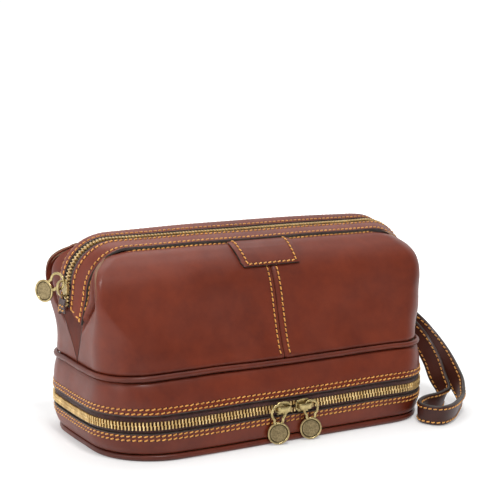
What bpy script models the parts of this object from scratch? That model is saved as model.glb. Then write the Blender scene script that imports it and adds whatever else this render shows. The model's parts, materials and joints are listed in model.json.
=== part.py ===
"""A leather shaving kit bag: a zipped pouch with a two-jaw wire frame, over a zipped lower tray.

Run with: blender --background --python part.py
Millimetres below, written to Blender in metres. +X is the bag's right seen from the front, -Y is
the front, +Z is up, and the origin is on the floor under the middle of the base.
"""

import math

import bmesh
import bpy
import numpy as np
from mathutils import Matrix, Vector

MM = 0.001

# Wall of the bag, bottom to top: half length, half depth, corner radius, height
BASE_PANEL = (126.4, 66.4, 42.0, 0.0)
BASE_THICKNESS = 2.2
BASE_PIPING = (128.9, 68.6, 44.0, 2.4)
WALL_FOOT = (130.3, 69.0, 44.0, 4.8)
WALL_LOW = (133.4, 70.0, 44.0, 12.0)
ZIP_RING = (135.0, 70.0, 44.0, 25.5)
WALL_RISE = (134.6, 69.0, 42.0, 31.2)
WALL_MID = (132.8, 65.4, 36.0, 42.0)
WALL_TOP = (131.0, 61.4, 31.0, 52.0)
WAIST_PIPING = (131.0, 60.8, 30.0, 54.6)
POUCH_FOOT = (129.5, 59.0, 28.0, 57.1)
PIPING_RADIUS = 1.9

LEATHER = 2.0
LINING = 0.8
LINING_GAP = 1.3
GAP = 0.4
ZIP_SLOT = 5.5
CORNER_STEPS = 8
SIDE_STEPS = 4
FRONT_STEPS = 6

# Zip chains and tapes: distances from the middle of the zip, and depths under the leather's face
CHAIN_NEAR = 0.5
CHAIN_FAR = 2.9
CHAIN_FACE = -0.2
CHAIN_BACK = 2.2
TAPE_NEAR = 3.2
TAPE_FAR = 9.5
TAPE_FACE = 2.4
TAPE_BACK = 3.2

# The two jaws: arches seen from the front, along the zip and along the outer ridge
ARCH_TOP_STEPS = 6
ZIP_ARCH = (105.8, 30.5, 139.9, 137.4)
RIDGE_ARCH = (99.0, 31.0, 135.4, 134.2)
FOOT_Z = 91.0
RIDGE_Y = 18.4
FLAT_Y = 4.4
FACING_Y = 6.0
WIRE_Y = 12.5
WIRE_DEPTH = 4.1
WIRE_RADIUS = 1.5

# Pouch, waist to shoulder: half length, half depth, corner radius, height, depth of the end's crease
POUCH_LEVELS = (
    (129.5, 57.6, 28.0, 57.1, 0.0),
    (130.0, 55.5, 26.5, 64.0, 0.0),
    (130.5, 53.4, 25.0, 71.0, 0.5),
    (130.8, 51.2, 22.5, 79.0, 1.5),
    (131.2, 49.1, 19.5, 87.0, 3.0),
    (131.5, 47.0, 16.5, 95.0, 4.0),
    (131.6, 44.8, 13.5, 103.0, 4.5),
    (131.6, 42.6, 11.0, 111.0, 4.0),
    (131.2, 40.4, 9.5, 118.0, 2.5),
    (127.0, 34.5, 9.0, 124.0, 1.0),
    (117.5, 27.0, 8.0, 129.0, 0.0),
)
SHOULDER_TOP = (99.0, 93.0, 132.0)
PANEL_DEPTH = 3.3
PANEL_Y = 18.6
GUSSET_START = 0.16
GUSSET_FOLD = 13.0
SEAM = 0.5

# Zip hardware
SLIDER_LENGTH = 11.0
PLATE_HALF = 4.6
PLATE_FACE = 1.0
PLATE_THICKNESS = 1.0
BACK_PLATE = 4.5
WEB_THICKNESS = 0.4
BRIDGE_HEIGHT = 4.6
BRIDGE_WIDTH = 2.4
PILLAR = 1.3
LOOP_RADIUS = 5.4
PULL_WIRE = 0.65
NECK_HALF = 2.6
DISC_RADIUS = 7.6
DISC_THICKNESS = 1.5
DISC_DROP = 14.2
BOTTOM_SLIDER_LEFT_X = 9.6
BOTTOM_SLIDER_RIGHT_X = 7.2
TOP_SLIDER_ANGLE = 92.0
TOP_PULL_AWAY = (-0.40, 0.74, -0.54)
LOOP_SAG = 3.0

# Label tab at the middle of the front jaw
TAB_TOP_HALF = 25.0
TAB_LOW_HALF = 23.5
TAB_CENTRE_X = 0.5
TAB_THICKNESS = 1.6

# Joint axes: the lid's hinge at the back of the bottom zip, and the feet of the two jaws
LID_PIVOT = (0.0, 70.6, 25.5)
JAW_PIVOT = (0.0, 12.5, 91.0)

# Wrist strap: the middle of the band and the direction across it, from the right end round and back
STRAP_WIDTH = 14.0
STRAP_THICKNESS = 3.0
STRAP_ROUTE = (
    ((132.9, -4.0, 73.5), (0.05, -0.99, 0.10)),
    ((139.5, -8.0, 60.0), (0.35, -0.90, 0.20)),
    ((146.0, -18.5, 46.0), (0.60, -0.78, 0.20)),
    ((147.0, -32.0, 33.0), (0.60, -0.78, 0.20)),
    ((145.0, -43.0, 22.0), (0.50, -0.85, 0.20)),
    ((145.5, -51.0, 12.5), (0.15, -0.85, 0.50)),
    ((140.0, -56.5, 8.6), (-0.25, -0.45, 0.85)),
    ((131.0, -60.8, 8.0), (-0.05, -0.10, 1.0)),
    ((119.5, -62.5, 7.6), (0.0, 0.0, 1.0)),
    ((108.5, -69.5, 7.6), (0.0, 0.0, 1.0)),
    ((103.3, -80.0, 7.6), (0.0, 0.0, 1.0)),
    ((109.5, -91.0, 7.6), (0.0, -0.05, 1.0)),
    ((121.5, -89.5, 7.8), (-0.05, -0.20, 0.98)),
    ((136.0, -79.0, 8.0), (-0.15, -0.45, 0.87)),
    ((149.5, -66.5, 10.5), (-0.35, -0.75, 0.55)),
    ((155.4, -53.0, 18.5), (0.15, -0.95, 0.25)),
    ((155.6, -40.0, 30.5), (0.50, -0.85, 0.15)),
    ((154.4, -28.0, 41.0), (0.65, -0.75, 0.10)),
    ((151.0, -14.0, 52.5), (0.60, -0.80, 0.10)),
    ((144.5, -3.0, 64.0), (0.40, -0.90, 0.10)),
    ((137.2, -1.0, 76.0), (0.10, -0.98, 0.10)),
)


def clear_scene():
    for item in list(bpy.data.objects):
        bpy.data.objects.remove(item, do_unlink=True)


def new_collection(name):
    made = bpy.data.collections.new(name)
    bpy.context.scene.collection.children.link(made)
    return made


def material(name, colour, roughness, metallic=0.0):
    made = bpy.data.materials.new(name)
    made.use_nodes = True
    shader = made.node_tree.nodes["Principled BSDF"]
    shader.inputs["Base Color"].default_value = (*colour, 1.0)
    shader.inputs["Roughness"].default_value = roughness
    shader.inputs["Metallic"].default_value = metallic
    return made


def add_object(name, mesh, kind):
    item = bpy.data.objects.new(name, mesh)
    PARTS.objects.link(item)
    item.data.materials.append(material(name, *FINISH[kind]))
    return item


def object_from_bmesh(name, bm, kind):
    bmesh.ops.recalc_face_normals(bm, faces=bm.faces)
    if bm.calc_volume(signed=True) < 0:
        bmesh.ops.reverse_faces(bm, faces=bm.faces)
    mesh = bpy.data.meshes.new(name)
    bm.to_mesh(mesh)
    bm.free()
    return add_object(name, mesh, kind)


def swept(name, rows, kind, closed=False):
    """A solid from rows of points: each row is one section, and the rows follow the piece's length."""
    bm = bmesh.new()
    made = [[bm.verts.new(Vector(p) * MM) for p in row] for row in rows]
    count = len(made[0])
    last = len(made) if closed else len(made) - 1
    for i in range(last):
        here, there = made[i], made[(i + 1) % len(made)]
        for j in range(count):
            k = (j + 1) % count
            bm.faces.new((here[j], here[k], there[k], there[j]))
    if not closed:
        bm.faces.new(made[0])
        bm.faces.new(made[-1])
    return object_from_bmesh(name, bm, kind)


def patch(name, outer, inner, kind):
    """A sheet of some thickness between two grids of points."""
    rows, columns = outer.shape[:2]
    bm = bmesh.new()
    front = [[bm.verts.new(Vector(p) * MM) for p in row] for row in outer]
    back = [[bm.verts.new(Vector(p) * MM) for p in row] for row in inner]
    for i in range(rows - 1):
        for j in range(columns - 1):
            for side in (front, back):
                bm.faces.new((side[i][j], side[i][j + 1], side[i + 1][j + 1], side[i + 1][j]))
    edge = [(0, j) for j in range(columns)]
    edge += [(i, columns - 1) for i in range(1, rows)]
    edge += [(rows - 1, j) for j in range(columns - 2, -1, -1)]
    edge += [(i, 0) for i in range(rows - 2, 0, -1)]
    for (a, b), (c, d) in zip(edge, edge[1:] + edge[:1]):
        bm.faces.new((front[a][b], front[c][d], back[c][d], back[a][b]))
    return object_from_bmesh(name, bm, kind)


def corner(centre_x, centre_y, radius, start, steps):
    """Points of a quarter turn, clockwise seen from above, without its last point."""
    turns = [math.radians(start - 90.0 * i / steps) for i in range(steps)]
    return [(centre_x + radius * math.cos(t), centre_y + radius * math.sin(t)) for t in turns]


def straight(start, end, steps):
    """Points of a straight run, without its last point."""
    shares = [i / steps for i in range(steps)]
    return [(start[0] + (end[0] - start[0]) * s, start[1] + (end[1] - start[1]) * s) for s in shares]


def ring(level):
    """A rounded rectangle, clockwise seen from above, from the middle of the back."""
    half_x, half_y, radius, height = level
    x, y = half_x - radius, half_y - radius
    points = straight((0, half_y), (x, half_y), 2)
    points += corner(x, y, radius, 90, CORNER_STEPS)
    points += straight((half_x, y), (half_x, -y), 2)
    points += corner(x, -y, radius, 0, CORNER_STEPS)
    points += straight((x, -half_y), (-x, -half_y), 4)
    points += corner(-x, -y, radius, -90, CORNER_STEPS)
    points += straight((-half_x, -y), (-half_x, y), 2)
    points += corner(-x, y, radius, 180, CORNER_STEPS)
    points += straight((-x, half_y), (0, half_y), 2)
    return [(px, py, height) for px, py in points]


def moved(level, inward=0.0, height=None):
    half_x, half_y, radius, own = level
    return half_x - inward, half_y - inward, radius - inward, own if height is None else height


def between(low, high, height):
    share = (height - low[3]) / (high[3] - low[3])
    return tuple(a + (b - a) * share for a, b in zip(low, high))


def wall_at(height):
    """The outer face of the bag's wall at a height."""
    for low, high in zip(WALL_LEVELS, WALL_LEVELS[1:]):
        if height <= high[3]:
            return between(low, high, height)
    return WALL_LEVELS[-1]


def band(name, heights, near, far, kind, open_run=False):
    """A wall from a near depth to a far depth under the bag's outer face, right round or as far as the zip."""
    levels = [moved(wall_at(z), near) for z in heights]
    levels += [moved(wall_at(z), far) for z in reversed(heights)]
    rows = list(zip(*[ring(level) for level in levels]))
    if open_run:
        rows = rows[2:-1]
    return swept(name, rows, kind, closed=not open_run)


def round_section(centre, radius, sides=8):
    turns = [2 * math.pi * i / sides for i in range(sides)]
    return [(centre[0] + radius * math.cos(t), centre[1] + radius * math.sin(t)) for t in turns]


def piping(name, level, radius):
    section = round_section((0.0, level[3]), radius)
    rows = list(zip(*[ring(moved(level, -out, height)) for out, height in section]))
    return swept(name, rows, "piping", closed=True)


def plate(name, level, thickness, kind):
    rows = [ring(level), ring(moved(level, 0.0, level[3] + thickness))]
    return swept(name, rows, kind)


def tray(name, floor_level, heights, near, far, thickness, kind, opens_up=True):
    """A thin fabric box lining a compartment: a floor or ceiling and its wall, open at the other side."""
    reach = heights if opens_up else list(reversed(heights))
    outer = [moved(wall_at(z), near) for z in reach]
    inner = [moved(wall_at(z), far) for z in reversed(reach)]
    start = moved(outer[0], 0.0, floor_level)
    step = thickness if opens_up else -thickness
    end = moved(inner[-1], 0.0, floor_level + step)
    rows = [ring(level) for level in [start] + outer[1:] + inner[:-1] + [end]]
    return swept(name, rows, kind)


def arch(half_top, radius, top, foot_x, y, steps=CORNER_STEPS):
    """Points up the left leg, over the top and down the right leg, seen from the front."""
    shoulder = (-half_top - radius, top - radius)
    shares = [i / SIDE_STEPS for i in range(SIDE_STEPS)]
    left = [
        (-foot_x + (shoulder[0] + foot_x) * s, FOOT_Z + (shoulder[1] - FOOT_Z) * s) for s in shares
    ]
    turns = [math.radians(180 - 90 * i / steps) for i in range(steps)]
    left += [
        (-half_top + radius * math.cos(t), top - radius + radius * math.sin(t)) for t in turns
    ]
    half_count = ARCH_TOP_STEPS // 2
    left += [(-half_top * (1 - i / half_count), top) for i in range(half_count)]
    right = [(-x, z) for x, z in reversed(left)]
    return [(x, y, z) for x, z in left + [(0.0, top)] + right]


def jaw_arch(y, depth):
    """The jaw's arch at a distance from the zip, and at a depth under its face."""
    share = max(0.0, abs(y) - FLAT_Y) / (RIDGE_Y - FLAT_Y)
    half_top, radius, top, foot_x = [a + (b - a) * share for a, b in zip(ZIP_ARCH, RIDGE_ARCH)]
    return arch(half_top, radius - depth, top - depth, foot_x - depth, y)


def jaw_strip(name, section, side, kind):
    """A piece that runs along a jaw; its section is (distance from the zip, depth) pairs."""
    rows = list(zip(*[jaw_arch(side * y, depth) for y, depth in section]))
    return swept(name, rows, kind)


def leg_x(height):
    """How far out the panel's edge stands, beside the jaw's leg or along the seam under it."""
    half_top, radius, top, foot_x = RIDGE_ARCH
    radius, top, foot_x = radius - PANEL_DEPTH, top - PANEL_DEPTH, foot_x - PANEL_DEPTH
    centre_z = top - radius
    if height > centre_z:
        return half_top + math.sqrt(max(0.0, radius**2 - (height - centre_z) ** 2))
    if height > FOOT_Z:
        share = (height - FOOT_Z) / (centre_z - FOOT_Z)
        return foot_x + (half_top + radius - foot_x) * share
    share = (height - POUCH_FOOT[3]) / (FOOT_Z - POUCH_FOOT[3])
    return POUCH_FOOT[0] + (foot_x - POUCH_FOOT[0]) * share


def edge_y(height):
    share = (height - POUCH_FOOT[3]) / (FOOT_Z - POUCH_FOOT[3])
    return PANEL_Y * min(1.0, share)


def pouch_row(level):
    """A level of the pouch, from its left edge round the corner to the middle of the front."""
    half_x, half_y, radius, height, crease = level
    x, y = half_x - radius, half_y - radius
    start = (leg_x(height), edge_y(height))
    points = []
    for i in range(SIDE_STEPS):
        share = i / SIDE_STEPS
        dent = crease * math.sin(math.pi * share)
        points.append((start[0] + (half_x - start[0]) * share - dent, start[1] + (y - start[1]) * share))
    points += [(px, -py) for px, py in corner(x, -y, radius, 0, CORNER_STEPS)]
    half_count = FRONT_STEPS // 2
    points += [(x * (1 - i / half_count), half_y) for i in range(half_count + 1)]
    return [(-px, -py, height) for px, py in points]


def shoulder_row():
    outer, inner, height = SHOULDER_TOP
    count = SIDE_STEPS + CORNER_STEPS
    xs = [outer + (inner - outer) * i / count for i in range(count)]
    half_count = FRONT_STEPS // 2
    xs += [inner * (1 - i / half_count) for i in range(half_count + 1)]
    return [(-x, -PANEL_Y, height) for x in xs]


def pouch_grid():
    """The front half of the pouch's outer face, as rows from the waist up to the ridge."""
    rows = [pouch_row(level) for level in POUCH_LEVELS] + [shoulder_row()]
    return np.array([row + [(-x, y, z) for x, y, z in reversed(row[:-1])] for row in rows])


def normals_of(grid):
    across = np.gradient(grid, axis=1)
    up = np.gradient(grid, axis=0)
    found = np.cross(across, up)
    return found / np.linalg.norm(found, axis=2)[..., None]


def narrowed(grid, left, right):
    """The grid with its first and last columns moved in by some millimetres."""
    made = grid.copy()
    for column, following, amount in ((0, 1, left), (-1, -2, right)):
        step = grid[:, following] - grid[:, column]
        length = np.linalg.norm(step, axis=1)[:, None]
        made[:, column] = grid[:, column] + step / np.maximum(length, 1e-6) * amount
    return made


def mirrored_y(grid):
    return grid[:, ::-1] * np.array([1.0, -1.0, 1.0])


def pouch_panels():
    grid = pouch_grid()
    normal = normals_of(grid)
    middle = grid.shape[1] // 2
    inner = grid - normal * LEATHER
    halves = (
        ("front_panel_left", slice(0, middle + 1), SEAM, 0.2),
        ("front_panel_right", slice(middle, grid.shape[1]), 0.2, SEAM),
    )
    for name, part, left, right in halves:
        patch(
            name,
            narrowed(grid[:, part], left, right),
            narrowed(inner[:, part], left, right),
            "leather",
        )
    patch(
        "back_panel",
        mirrored_y(narrowed(grid, SEAM, SEAM)),
        mirrored_y(narrowed(inner, SEAM, SEAM)),
        "leather",
    )
    face = (grid - normal * (LEATHER + LINING_GAP))[:-3]
    back = (grid - normal * (LEATHER + LINING_GAP + LINING))[:-3]
    face = narrowed(face, 2 * SEAM, 2 * SEAM)
    back = narrowed(back, 2 * SEAM, 2 * SEAM)
    patch("pouch_lining_front", face, back, "lining")
    patch("pouch_lining_back", mirrored_y(face), mirrored_y(back), "lining")


def gusset_grid():
    """The left end's folded gusset, from its front edge round the fold to its rear edge."""
    rows = []
    for share in np.linspace(GUSSET_START, 0.97, 7):
        height = POUCH_FOOT[3] + (FOOT_Z - POUCH_FOOT[3]) * share
        x = -leg_x(height)
        half = edge_y(height) - SEAM - 0.7 * share
        fold = GUSSET_FOLD * share
        row = []
        for turn in (-1.0, -0.72, -0.36, 0.0, 0.36, 0.72, 1.0):
            depth = fold * (1 - abs(turn) ** 1.5)
            row.append((x + depth, half * turn, height))
        rows.append(row)
    return np.array(rows)


def gussets():
    outer = gusset_grid()
    inner = outer + np.array([LEATHER * 0.8, 0.0, 0.0])
    patch("left_end_gusset", outer, inner, "leather")
    flip = np.array([-1.0, 1.0, 1.0])
    patch("right_end_gusset", outer * flip, inner * flip, "leather")


def box_mesh(centre, size):
    bm = bmesh.new()
    bmesh.ops.create_cube(bm, size=1.0)
    bmesh.ops.scale(bm, vec=Vector(size) * MM, verts=bm.verts)
    bmesh.ops.translate(bm, vec=Vector(centre) * MM, verts=bm.verts)
    return bm


def cutter(name, mesh):
    item = bpy.data.objects.new(name, mesh)
    CUTTERS.objects.link(item)
    item.hide_render = True
    item.display_type = "WIRE"
    return item


def union(item, other):
    joined = item.modifiers.new(other.name, "BOOLEAN")
    joined.operation = "UNION"
    joined.solver = "EXACT"
    joined.object = other


def slider(name, place):
    """A zip slider: its outer plate faces local +Z, and the chain runs along local X."""
    half = SLIDER_LENGTH / 2
    bm = box_mesh(
        (0, 0, PLATE_FACE + PLATE_THICKNESS / 2), (SLIDER_LENGTH, 2 * PLATE_HALF, PLATE_THICKNESS)
    )
    mesh = bpy.data.meshes.new(name)
    bm.to_mesh(mesh)
    bm.free()
    item = add_object(name, mesh, "antique")
    reach = PLATE_FACE + BACK_PLATE
    arch_z = PLATE_FACE + PLATE_THICKNESS + BRIDGE_HEIGHT / 2
    blocks = (
        ("back", (0, 0, -BACK_PLATE - 0.5), (SLIDER_LENGTH, 2 * PLATE_HALF, PLATE_THICKNESS)),
        ("web", (0, 0, (PLATE_FACE - BACK_PLATE) / 2), (3.4, WEB_THICKNESS, reach + 1.0)),
        ("post_a", (half - PILLAR, 0, arch_z), (PILLAR, BRIDGE_WIDTH, BRIDGE_HEIGHT + 0.6)),
        ("post_b", (PILLAR - half, 0, arch_z), (PILLAR, BRIDGE_WIDTH, BRIDGE_HEIGHT + 0.6)),
        (
            "bridge",
            (0, 0, PLATE_FACE + PLATE_THICKNESS + BRIDGE_HEIGHT),
            (SLIDER_LENGTH - PILLAR, BRIDGE_WIDTH, 1.2),
        ),
    )
    item.matrix_world = place
    for part, centre, size in blocks:
        bm = box_mesh(centre, size)
        mesh = bpy.data.meshes.new(name + "_" + part)
        bm.to_mesh(mesh)
        bm.free()
        other = cutter(name + "_" + part, mesh)
        other.matrix_world = place
        union(item, other)
    return item


def pull_outline(lean):
    """The wire loop of a pull, as points that start and end in its disc; lean shifts the disc sideways."""
    points = []
    disc_top = -DISC_DROP + DISC_RADIUS - 0.8
    for turn in range(-60, 241, 20):
        t = math.radians(turn)
        points.append((LOOP_RADIUS * math.cos(t), LOOP_RADIUS * math.sin(t)))
    right = [(NECK_HALF + lean, disc_top), (NECK_HALF + lean * 0.7, disc_top + 1.4)]
    left = [(-NECK_HALF + lean * 0.7, disc_top + 1.4), (-NECK_HALF + lean, disc_top)]
    return right + points + left


def tube(name, points, radius, kind):
    """A solid round wire along points, as a mesh object."""
    curve = bpy.data.curves.new(name, "CURVE")
    curve.dimensions = "3D"
    curve.bevel_depth = radius * MM
    curve.bevel_resolution = 1
    curve.use_fill_caps = True
    spline = curve.splines.new("POLY")
    spline.points.add(len(points) - 1)
    for item, point in zip(spline.points, points):
        item.co = (*(Vector(point) * MM), 1.0)
    source = bpy.data.objects.new(name + "_curve", curve)
    bpy.context.scene.collection.objects.link(source)
    bpy.context.view_layer.update()
    graph = bpy.context.evaluated_depsgraph_get()
    mesh = bpy.data.meshes.new_from_object(source.evaluated_get(graph))
    bpy.data.objects.remove(source, do_unlink=True)
    bm = bmesh.new()
    bm.from_mesh(mesh)
    bmesh.ops.remove_doubles(bm, verts=bm.verts, dist=1e-6)
    bmesh.ops.recalc_face_normals(bm, faces=bm.faces)
    bm.to_mesh(mesh)
    bm.free()
    mesh.name = name
    mesh.materials.clear()
    return add_object(name, mesh, kind)


def pull(name, place, lean=0.0):
    """A pull: a wire loop round the local origin in the local XY plane, with a disc below it."""
    points = [(x, y, 0.0) for x, y in pull_outline(lean)]
    item = tube(name, points, PULL_WIRE, "antique")
    bm = bmesh.new()
    bmesh.ops.create_cone(
        bm,
        cap_ends=True,
        segments=28,
        radius1=DISC_RADIUS * MM,
        radius2=DISC_RADIUS * MM,
        depth=DISC_THICKNESS * MM,
        matrix=Matrix.Translation(Vector((lean, -DISC_DROP, 0.0)) * MM),
    )
    mesh = bpy.data.meshes.new(name + "_disc")
    bm.to_mesh(mesh)
    bm.free()
    disc = cutter(name + "_disc", mesh)
    item.matrix_world = place
    disc.matrix_world = place
    union(item, disc)
    return item


def frame_matrix(x_axis, y_axis, z_axis, origin):
    columns = (Vector(x_axis), Vector(y_axis), Vector(z_axis))
    made = Matrix.Identity(4)
    for j, axis in enumerate(columns):
        for i in range(3):
            made[i][j] = axis[i]
    made.translation = Vector(origin) * MM
    return made


def bottom_zip_hardware():
    face_y = -ZIP_RING[1]
    height = ZIP_RING[3]
    loop_gap = PLATE_FACE + PLATE_THICKNESS + (BRIDGE_HEIGHT - 0.6) / 2
    for side, word, distance in (
        (-1, "left", BOTTOM_SLIDER_LEFT_X),
        (1, "right", BOTTOM_SLIDER_RIGHT_X),
    ):
        x = side * distance
        slider(
            "bottom_" + word + "_slider_body",
            frame_matrix((1, 0, 0), (0, 0, 1), (0, -1, 0), (x, face_y, height)),
        )
        pull(
            "bottom_" + word + "_pull",
            frame_matrix(
                (1, 0, 0),
                (0, 0, 1),
                (0, -1, 0),
                (x + side * math.sqrt(LOOP_RADIUS**2 - LOOP_SAG**2), face_y - loop_gap, height - LOOP_SAG),
            ),
        )
    for side, word in ((-1, "left"), (1, "right")):
        x = side * (ZIP_RING[0] - ZIP_RING[2] - 3.0)
        bm = box_mesh((x, ZIP_RING[1] - 1.0, height), (3.0, 2.6, 6.4))
        object_from_bmesh("bottom_zip_stop_" + word, bm, "brass")


def top_zip_hardware():
    half_top, radius, top = ZIP_ARCH[:3]
    turn = math.radians(TOP_SLIDER_ANGLE)
    out = Vector((-math.sin(turn), 0.0, math.cos(turn)))
    along = Vector((math.cos(turn), 0.0, math.sin(turn)))
    centre = Vector((-half_top, 0.0, top - radius)) + out * radius
    slider("top_slider_body", frame_matrix(along, out.cross(along), out, centre))
    grip = centre + out * (PLATE_FACE + PLATE_THICKNESS + (BRIDGE_HEIGHT - 0.6) / 2 + 0.2)
    away = Vector(TOP_PULL_AWAY).normalized()
    lift = Vector((0.0, 0.0, 1.0))
    lift = (lift - away * lift.dot(away)).normalized()
    origin = grip + lift * LOOP_RADIUS
    pull("top_pull", frame_matrix(lift, -away, lift.cross(-away), origin))
    for side, word in ((-1, "left"), (1, "right")):
        x = side * (ZIP_ARCH[3] + 2.4)
        bm = box_mesh((x, 0.0, 96.0), (1.2, 10.5, 10.0))
        object_from_bmesh("top_zip_tail_" + word, bm, "tape")


def label_tab():
    """The tab hangs from the front jaw's edge over the middle of the panels."""
    grid = pouch_grid()
    normal = normals_of(grid)
    middle = grid.shape[1] // 2
    profile = grid[:, middle] + normal[:, middle] * 0.6
    last = len(grid) - 1
    column = [profile[i] for i in range(last, last - 4, -1)]
    out = [normal[i, middle] for i in range(last, last - 4, -1)]
    column[0] = column[0] + (column[1] - column[0]) * 0.22
    out[0] = out[1]
    outer = []
    inner = []
    for i, (point, away) in enumerate(zip(column, out)):
        half = TAB_TOP_HALF + (TAB_LOW_HALF - TAB_TOP_HALF) * i / 3
        left = Vector((TAB_CENTRE_X - half, point[1], point[2]))
        right = Vector((TAB_CENTRE_X + half, point[1], point[2]))
        lift = Vector(away) * TAB_THICKNESS
        inner.append([left, right])
        outer.append([left + lift, right + lift])
    patch("label_tab", np.array(outer), np.array(inner), "leather_dark")


def smooth_route(points, steps):
    """A smooth curve through points, by Catmull-Rom, with evenly numbered steps between them."""
    points = [np.array(p, float) for p in points]
    points = [2 * points[0] - points[1]] + points + [2 * points[-1] - points[-2]]
    made = []
    for a, b, c, d in zip(points, points[1:], points[2:], points[3:]):
        for i in range(steps):
            t = i / steps
            made.append(
                0.5
                * (
                    2 * b
                    + (c - a) * t
                    + (2 * a - 5 * b + 4 * c - d) * t**2
                    + (3 * b - a - 3 * c + d) * t**3
                )
            )
    made.append(points[-2])
    return made


def wrist_strap():
    middle = smooth_route([place for place, _ in STRAP_ROUTE], 3)
    across = smooth_route([turn for _, turn in STRAP_ROUTE], 3)
    rows = []
    for i, (point, wide) in enumerate(zip(middle, across)):
        ahead = middle[min(i + 1, len(middle) - 1)] - middle[max(i - 1, 0)]
        ahead = ahead / np.linalg.norm(ahead)
        wide = wide - ahead * (wide @ ahead)
        wide = wide / np.linalg.norm(wide)
        face = np.cross(ahead, wide)
        w, t = wide * STRAP_WIDTH / 2, face * STRAP_THICKNESS / 2
        rows.append([point - w - t, point + w - t, point + w + t, point - w + t])
    swept("wrist_strap", rows, "leather_dark")


def lower_tray():
    plate("base_panel", BASE_PANEL, BASE_THICKNESS, "leather_dark")
    board = moved(BASE_PANEL, 1.5, BASE_THICKNESS + GAP)
    plate("base_board", board, 1.4, "board")
    piping("base_piping", BASE_PIPING, PIPING_RADIUS)
    zip_z = ZIP_RING[3]
    band("lower_band", [4.8, 8.0, 12.0, zip_z - ZIP_SLOT], 0.0, LEATHER, "leather")
    tray("tray_lining", 4.8, [4.8, 8.0, 12.0, 20.4], 3.6, 3.6 + LINING, LINING, "lining")
    low, high = zip_z - TAPE_FAR - 2, zip_z - TAPE_NEAR
    band("lower_zip_tape", [low, high], TAPE_FACE, TAPE_BACK, "tape", open_run=True)
    low, high = zip_z - CHAIN_FAR, zip_z - CHAIN_NEAR
    band("lower_zip_teeth", [low, high], CHAIN_FACE, CHAIN_BACK, "brass", open_run=True)
    half = ZIP_RING[0] - ZIP_RING[2] - 5.5
    y = ZIP_RING[1] - (TAPE_FACE + TAPE_BACK) / 2
    bm = box_mesh((0, y, (13.0 + 25.2) / 2), (2 * half, TAPE_BACK - TAPE_FACE, 25.2 - 13.0))
    object_from_bmesh("rear_hinge_strip", bm, "leather_dark")


def upper_lid():
    zip_z = ZIP_RING[3]
    low, high = zip_z + CHAIN_NEAR, zip_z + CHAIN_FAR
    band("upper_zip_teeth", [low, high], CHAIN_FACE, CHAIN_BACK, "brass", open_run=True)
    low, high = zip_z + TAPE_NEAR, zip_z + TAPE_FAR + 2
    band("upper_zip_tape", [low, high], TAPE_FACE, TAPE_BACK, "tape", open_run=True)
    band("upper_band", [zip_z + ZIP_SLOT + 0.2, 36.0, 42.0, 52.0], 0.0, LEATHER, "leather")
    heights = [31.4, 36.0, 42.0, 51.8]
    tray("lid_lining", 51.8, heights, 3.6, 3.6 + LINING, LINING, "lining", opens_up=False)
    piping("waist_piping", WAIST_PIPING, PIPING_RADIUS)
    plate("divider_board", moved(WAIST_PIPING, 2.4, 52.4), 2.0, "board")
    plate("pouch_floor_lining", moved(POUCH_FOOT, 4.0, 54.9), LINING, "lining")


def jaws():
    for side, word in ((-1, "front"), (1, "rear")):
        facing = ((FACING_Y, 0.0), (RIDGE_Y, 0.0), (RIDGE_Y, LEATHER), (FACING_Y, LEATHER))
        jaw_strip(word + "_facing", facing, side, "leather")
        tape = ((TAPE_NEAR, TAPE_FACE), (TAPE_FAR, TAPE_FACE), (TAPE_FAR, TAPE_BACK))
        tape += ((TAPE_NEAR, TAPE_BACK),)
        jaw_strip(word + "_zip_tape", tape, side, "tape")
        teeth = ((CHAIN_NEAR, CHAIN_FACE), (CHAIN_FAR, CHAIN_FACE), (CHAIN_FAR, CHAIN_BACK))
        teeth += ((CHAIN_NEAR, CHAIN_BACK),)
        jaw_strip(word + "_zip_teeth", teeth, side, "brass")
        wire = round_section((WIRE_Y, WIRE_DEPTH), WIRE_RADIUS)
        jaw_strip(word + "_frame_wire", wire, side, "steel")


def pivot(name, place, parent, members):
    """An empty on a joint's axis that carries the pieces turning about it."""
    empty = bpy.data.objects.new(name, None)
    PARTS.objects.link(empty)
    own = Matrix.Translation(Vector(place) * MM)
    empty.matrix_world = own
    if parent:
        empty.parent = parent
        empty.matrix_parent_inverse = Matrix.Translation(Vector(LID_PIVOT) * -MM)
    for member in members:
        item = bpy.data.objects[member]
        item.parent = empty
        item.matrix_parent_inverse = own.inverted()
    return empty


def pivots():
    """Gathers the pieces that move together under empties on their joint axes."""
    lid = ("upper_band", "upper_zip_tape", "upper_zip_teeth", "lid_lining", "waist_piping")
    lid += ("divider_board", "pouch_floor_lining", "front_panel_left", "front_panel_right")
    lid += ("back_panel", "pouch_lining_front", "pouch_lining_back", "left_end_gusset")
    lid += ("right_end_gusset", "top_zip_tail_left", "top_zip_tail_right", "wrist_strap")
    lid_pivot = pivot("lid_pivot", LID_PIVOT, None, lid)
    x, y, z = JAW_PIVOT
    jaw = ("_facing", "_zip_tape", "_zip_teeth", "_frame_wire")
    front = ["front" + part for part in jaw] + ["label_tab", "top_slider_body", "top_pull"]
    pivot("front_jaw_pivot", (x, -y, z), lid_pivot, front)
    pivot("rear_jaw_pivot", (x, y, z), lid_pivot, ["rear" + part for part in jaw])


WALL_LEVELS = (WALL_FOOT, WALL_LOW, ZIP_RING, WALL_RISE, WALL_MID, WALL_TOP)
FINISH = {
    "leather": ((0.16, 0.035, 0.018), 0.45),
    "leather_dark": ((0.11, 0.028, 0.016), 0.5),
    "piping": ((0.10, 0.022, 0.014), 0.5),
    "lining": ((0.20, 0.13, 0.08), 0.9),
    "board": ((0.30, 0.22, 0.14), 0.9),
    "tape": ((0.12, 0.02, 0.015), 0.85),
    "brass": ((0.80, 0.58, 0.25), 0.3, 1.0),
    "antique": ((0.45, 0.36, 0.18), 0.4, 1.0),
    "steel": ((0.55, 0.55, 0.56), 0.35, 1.0),
}

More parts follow.
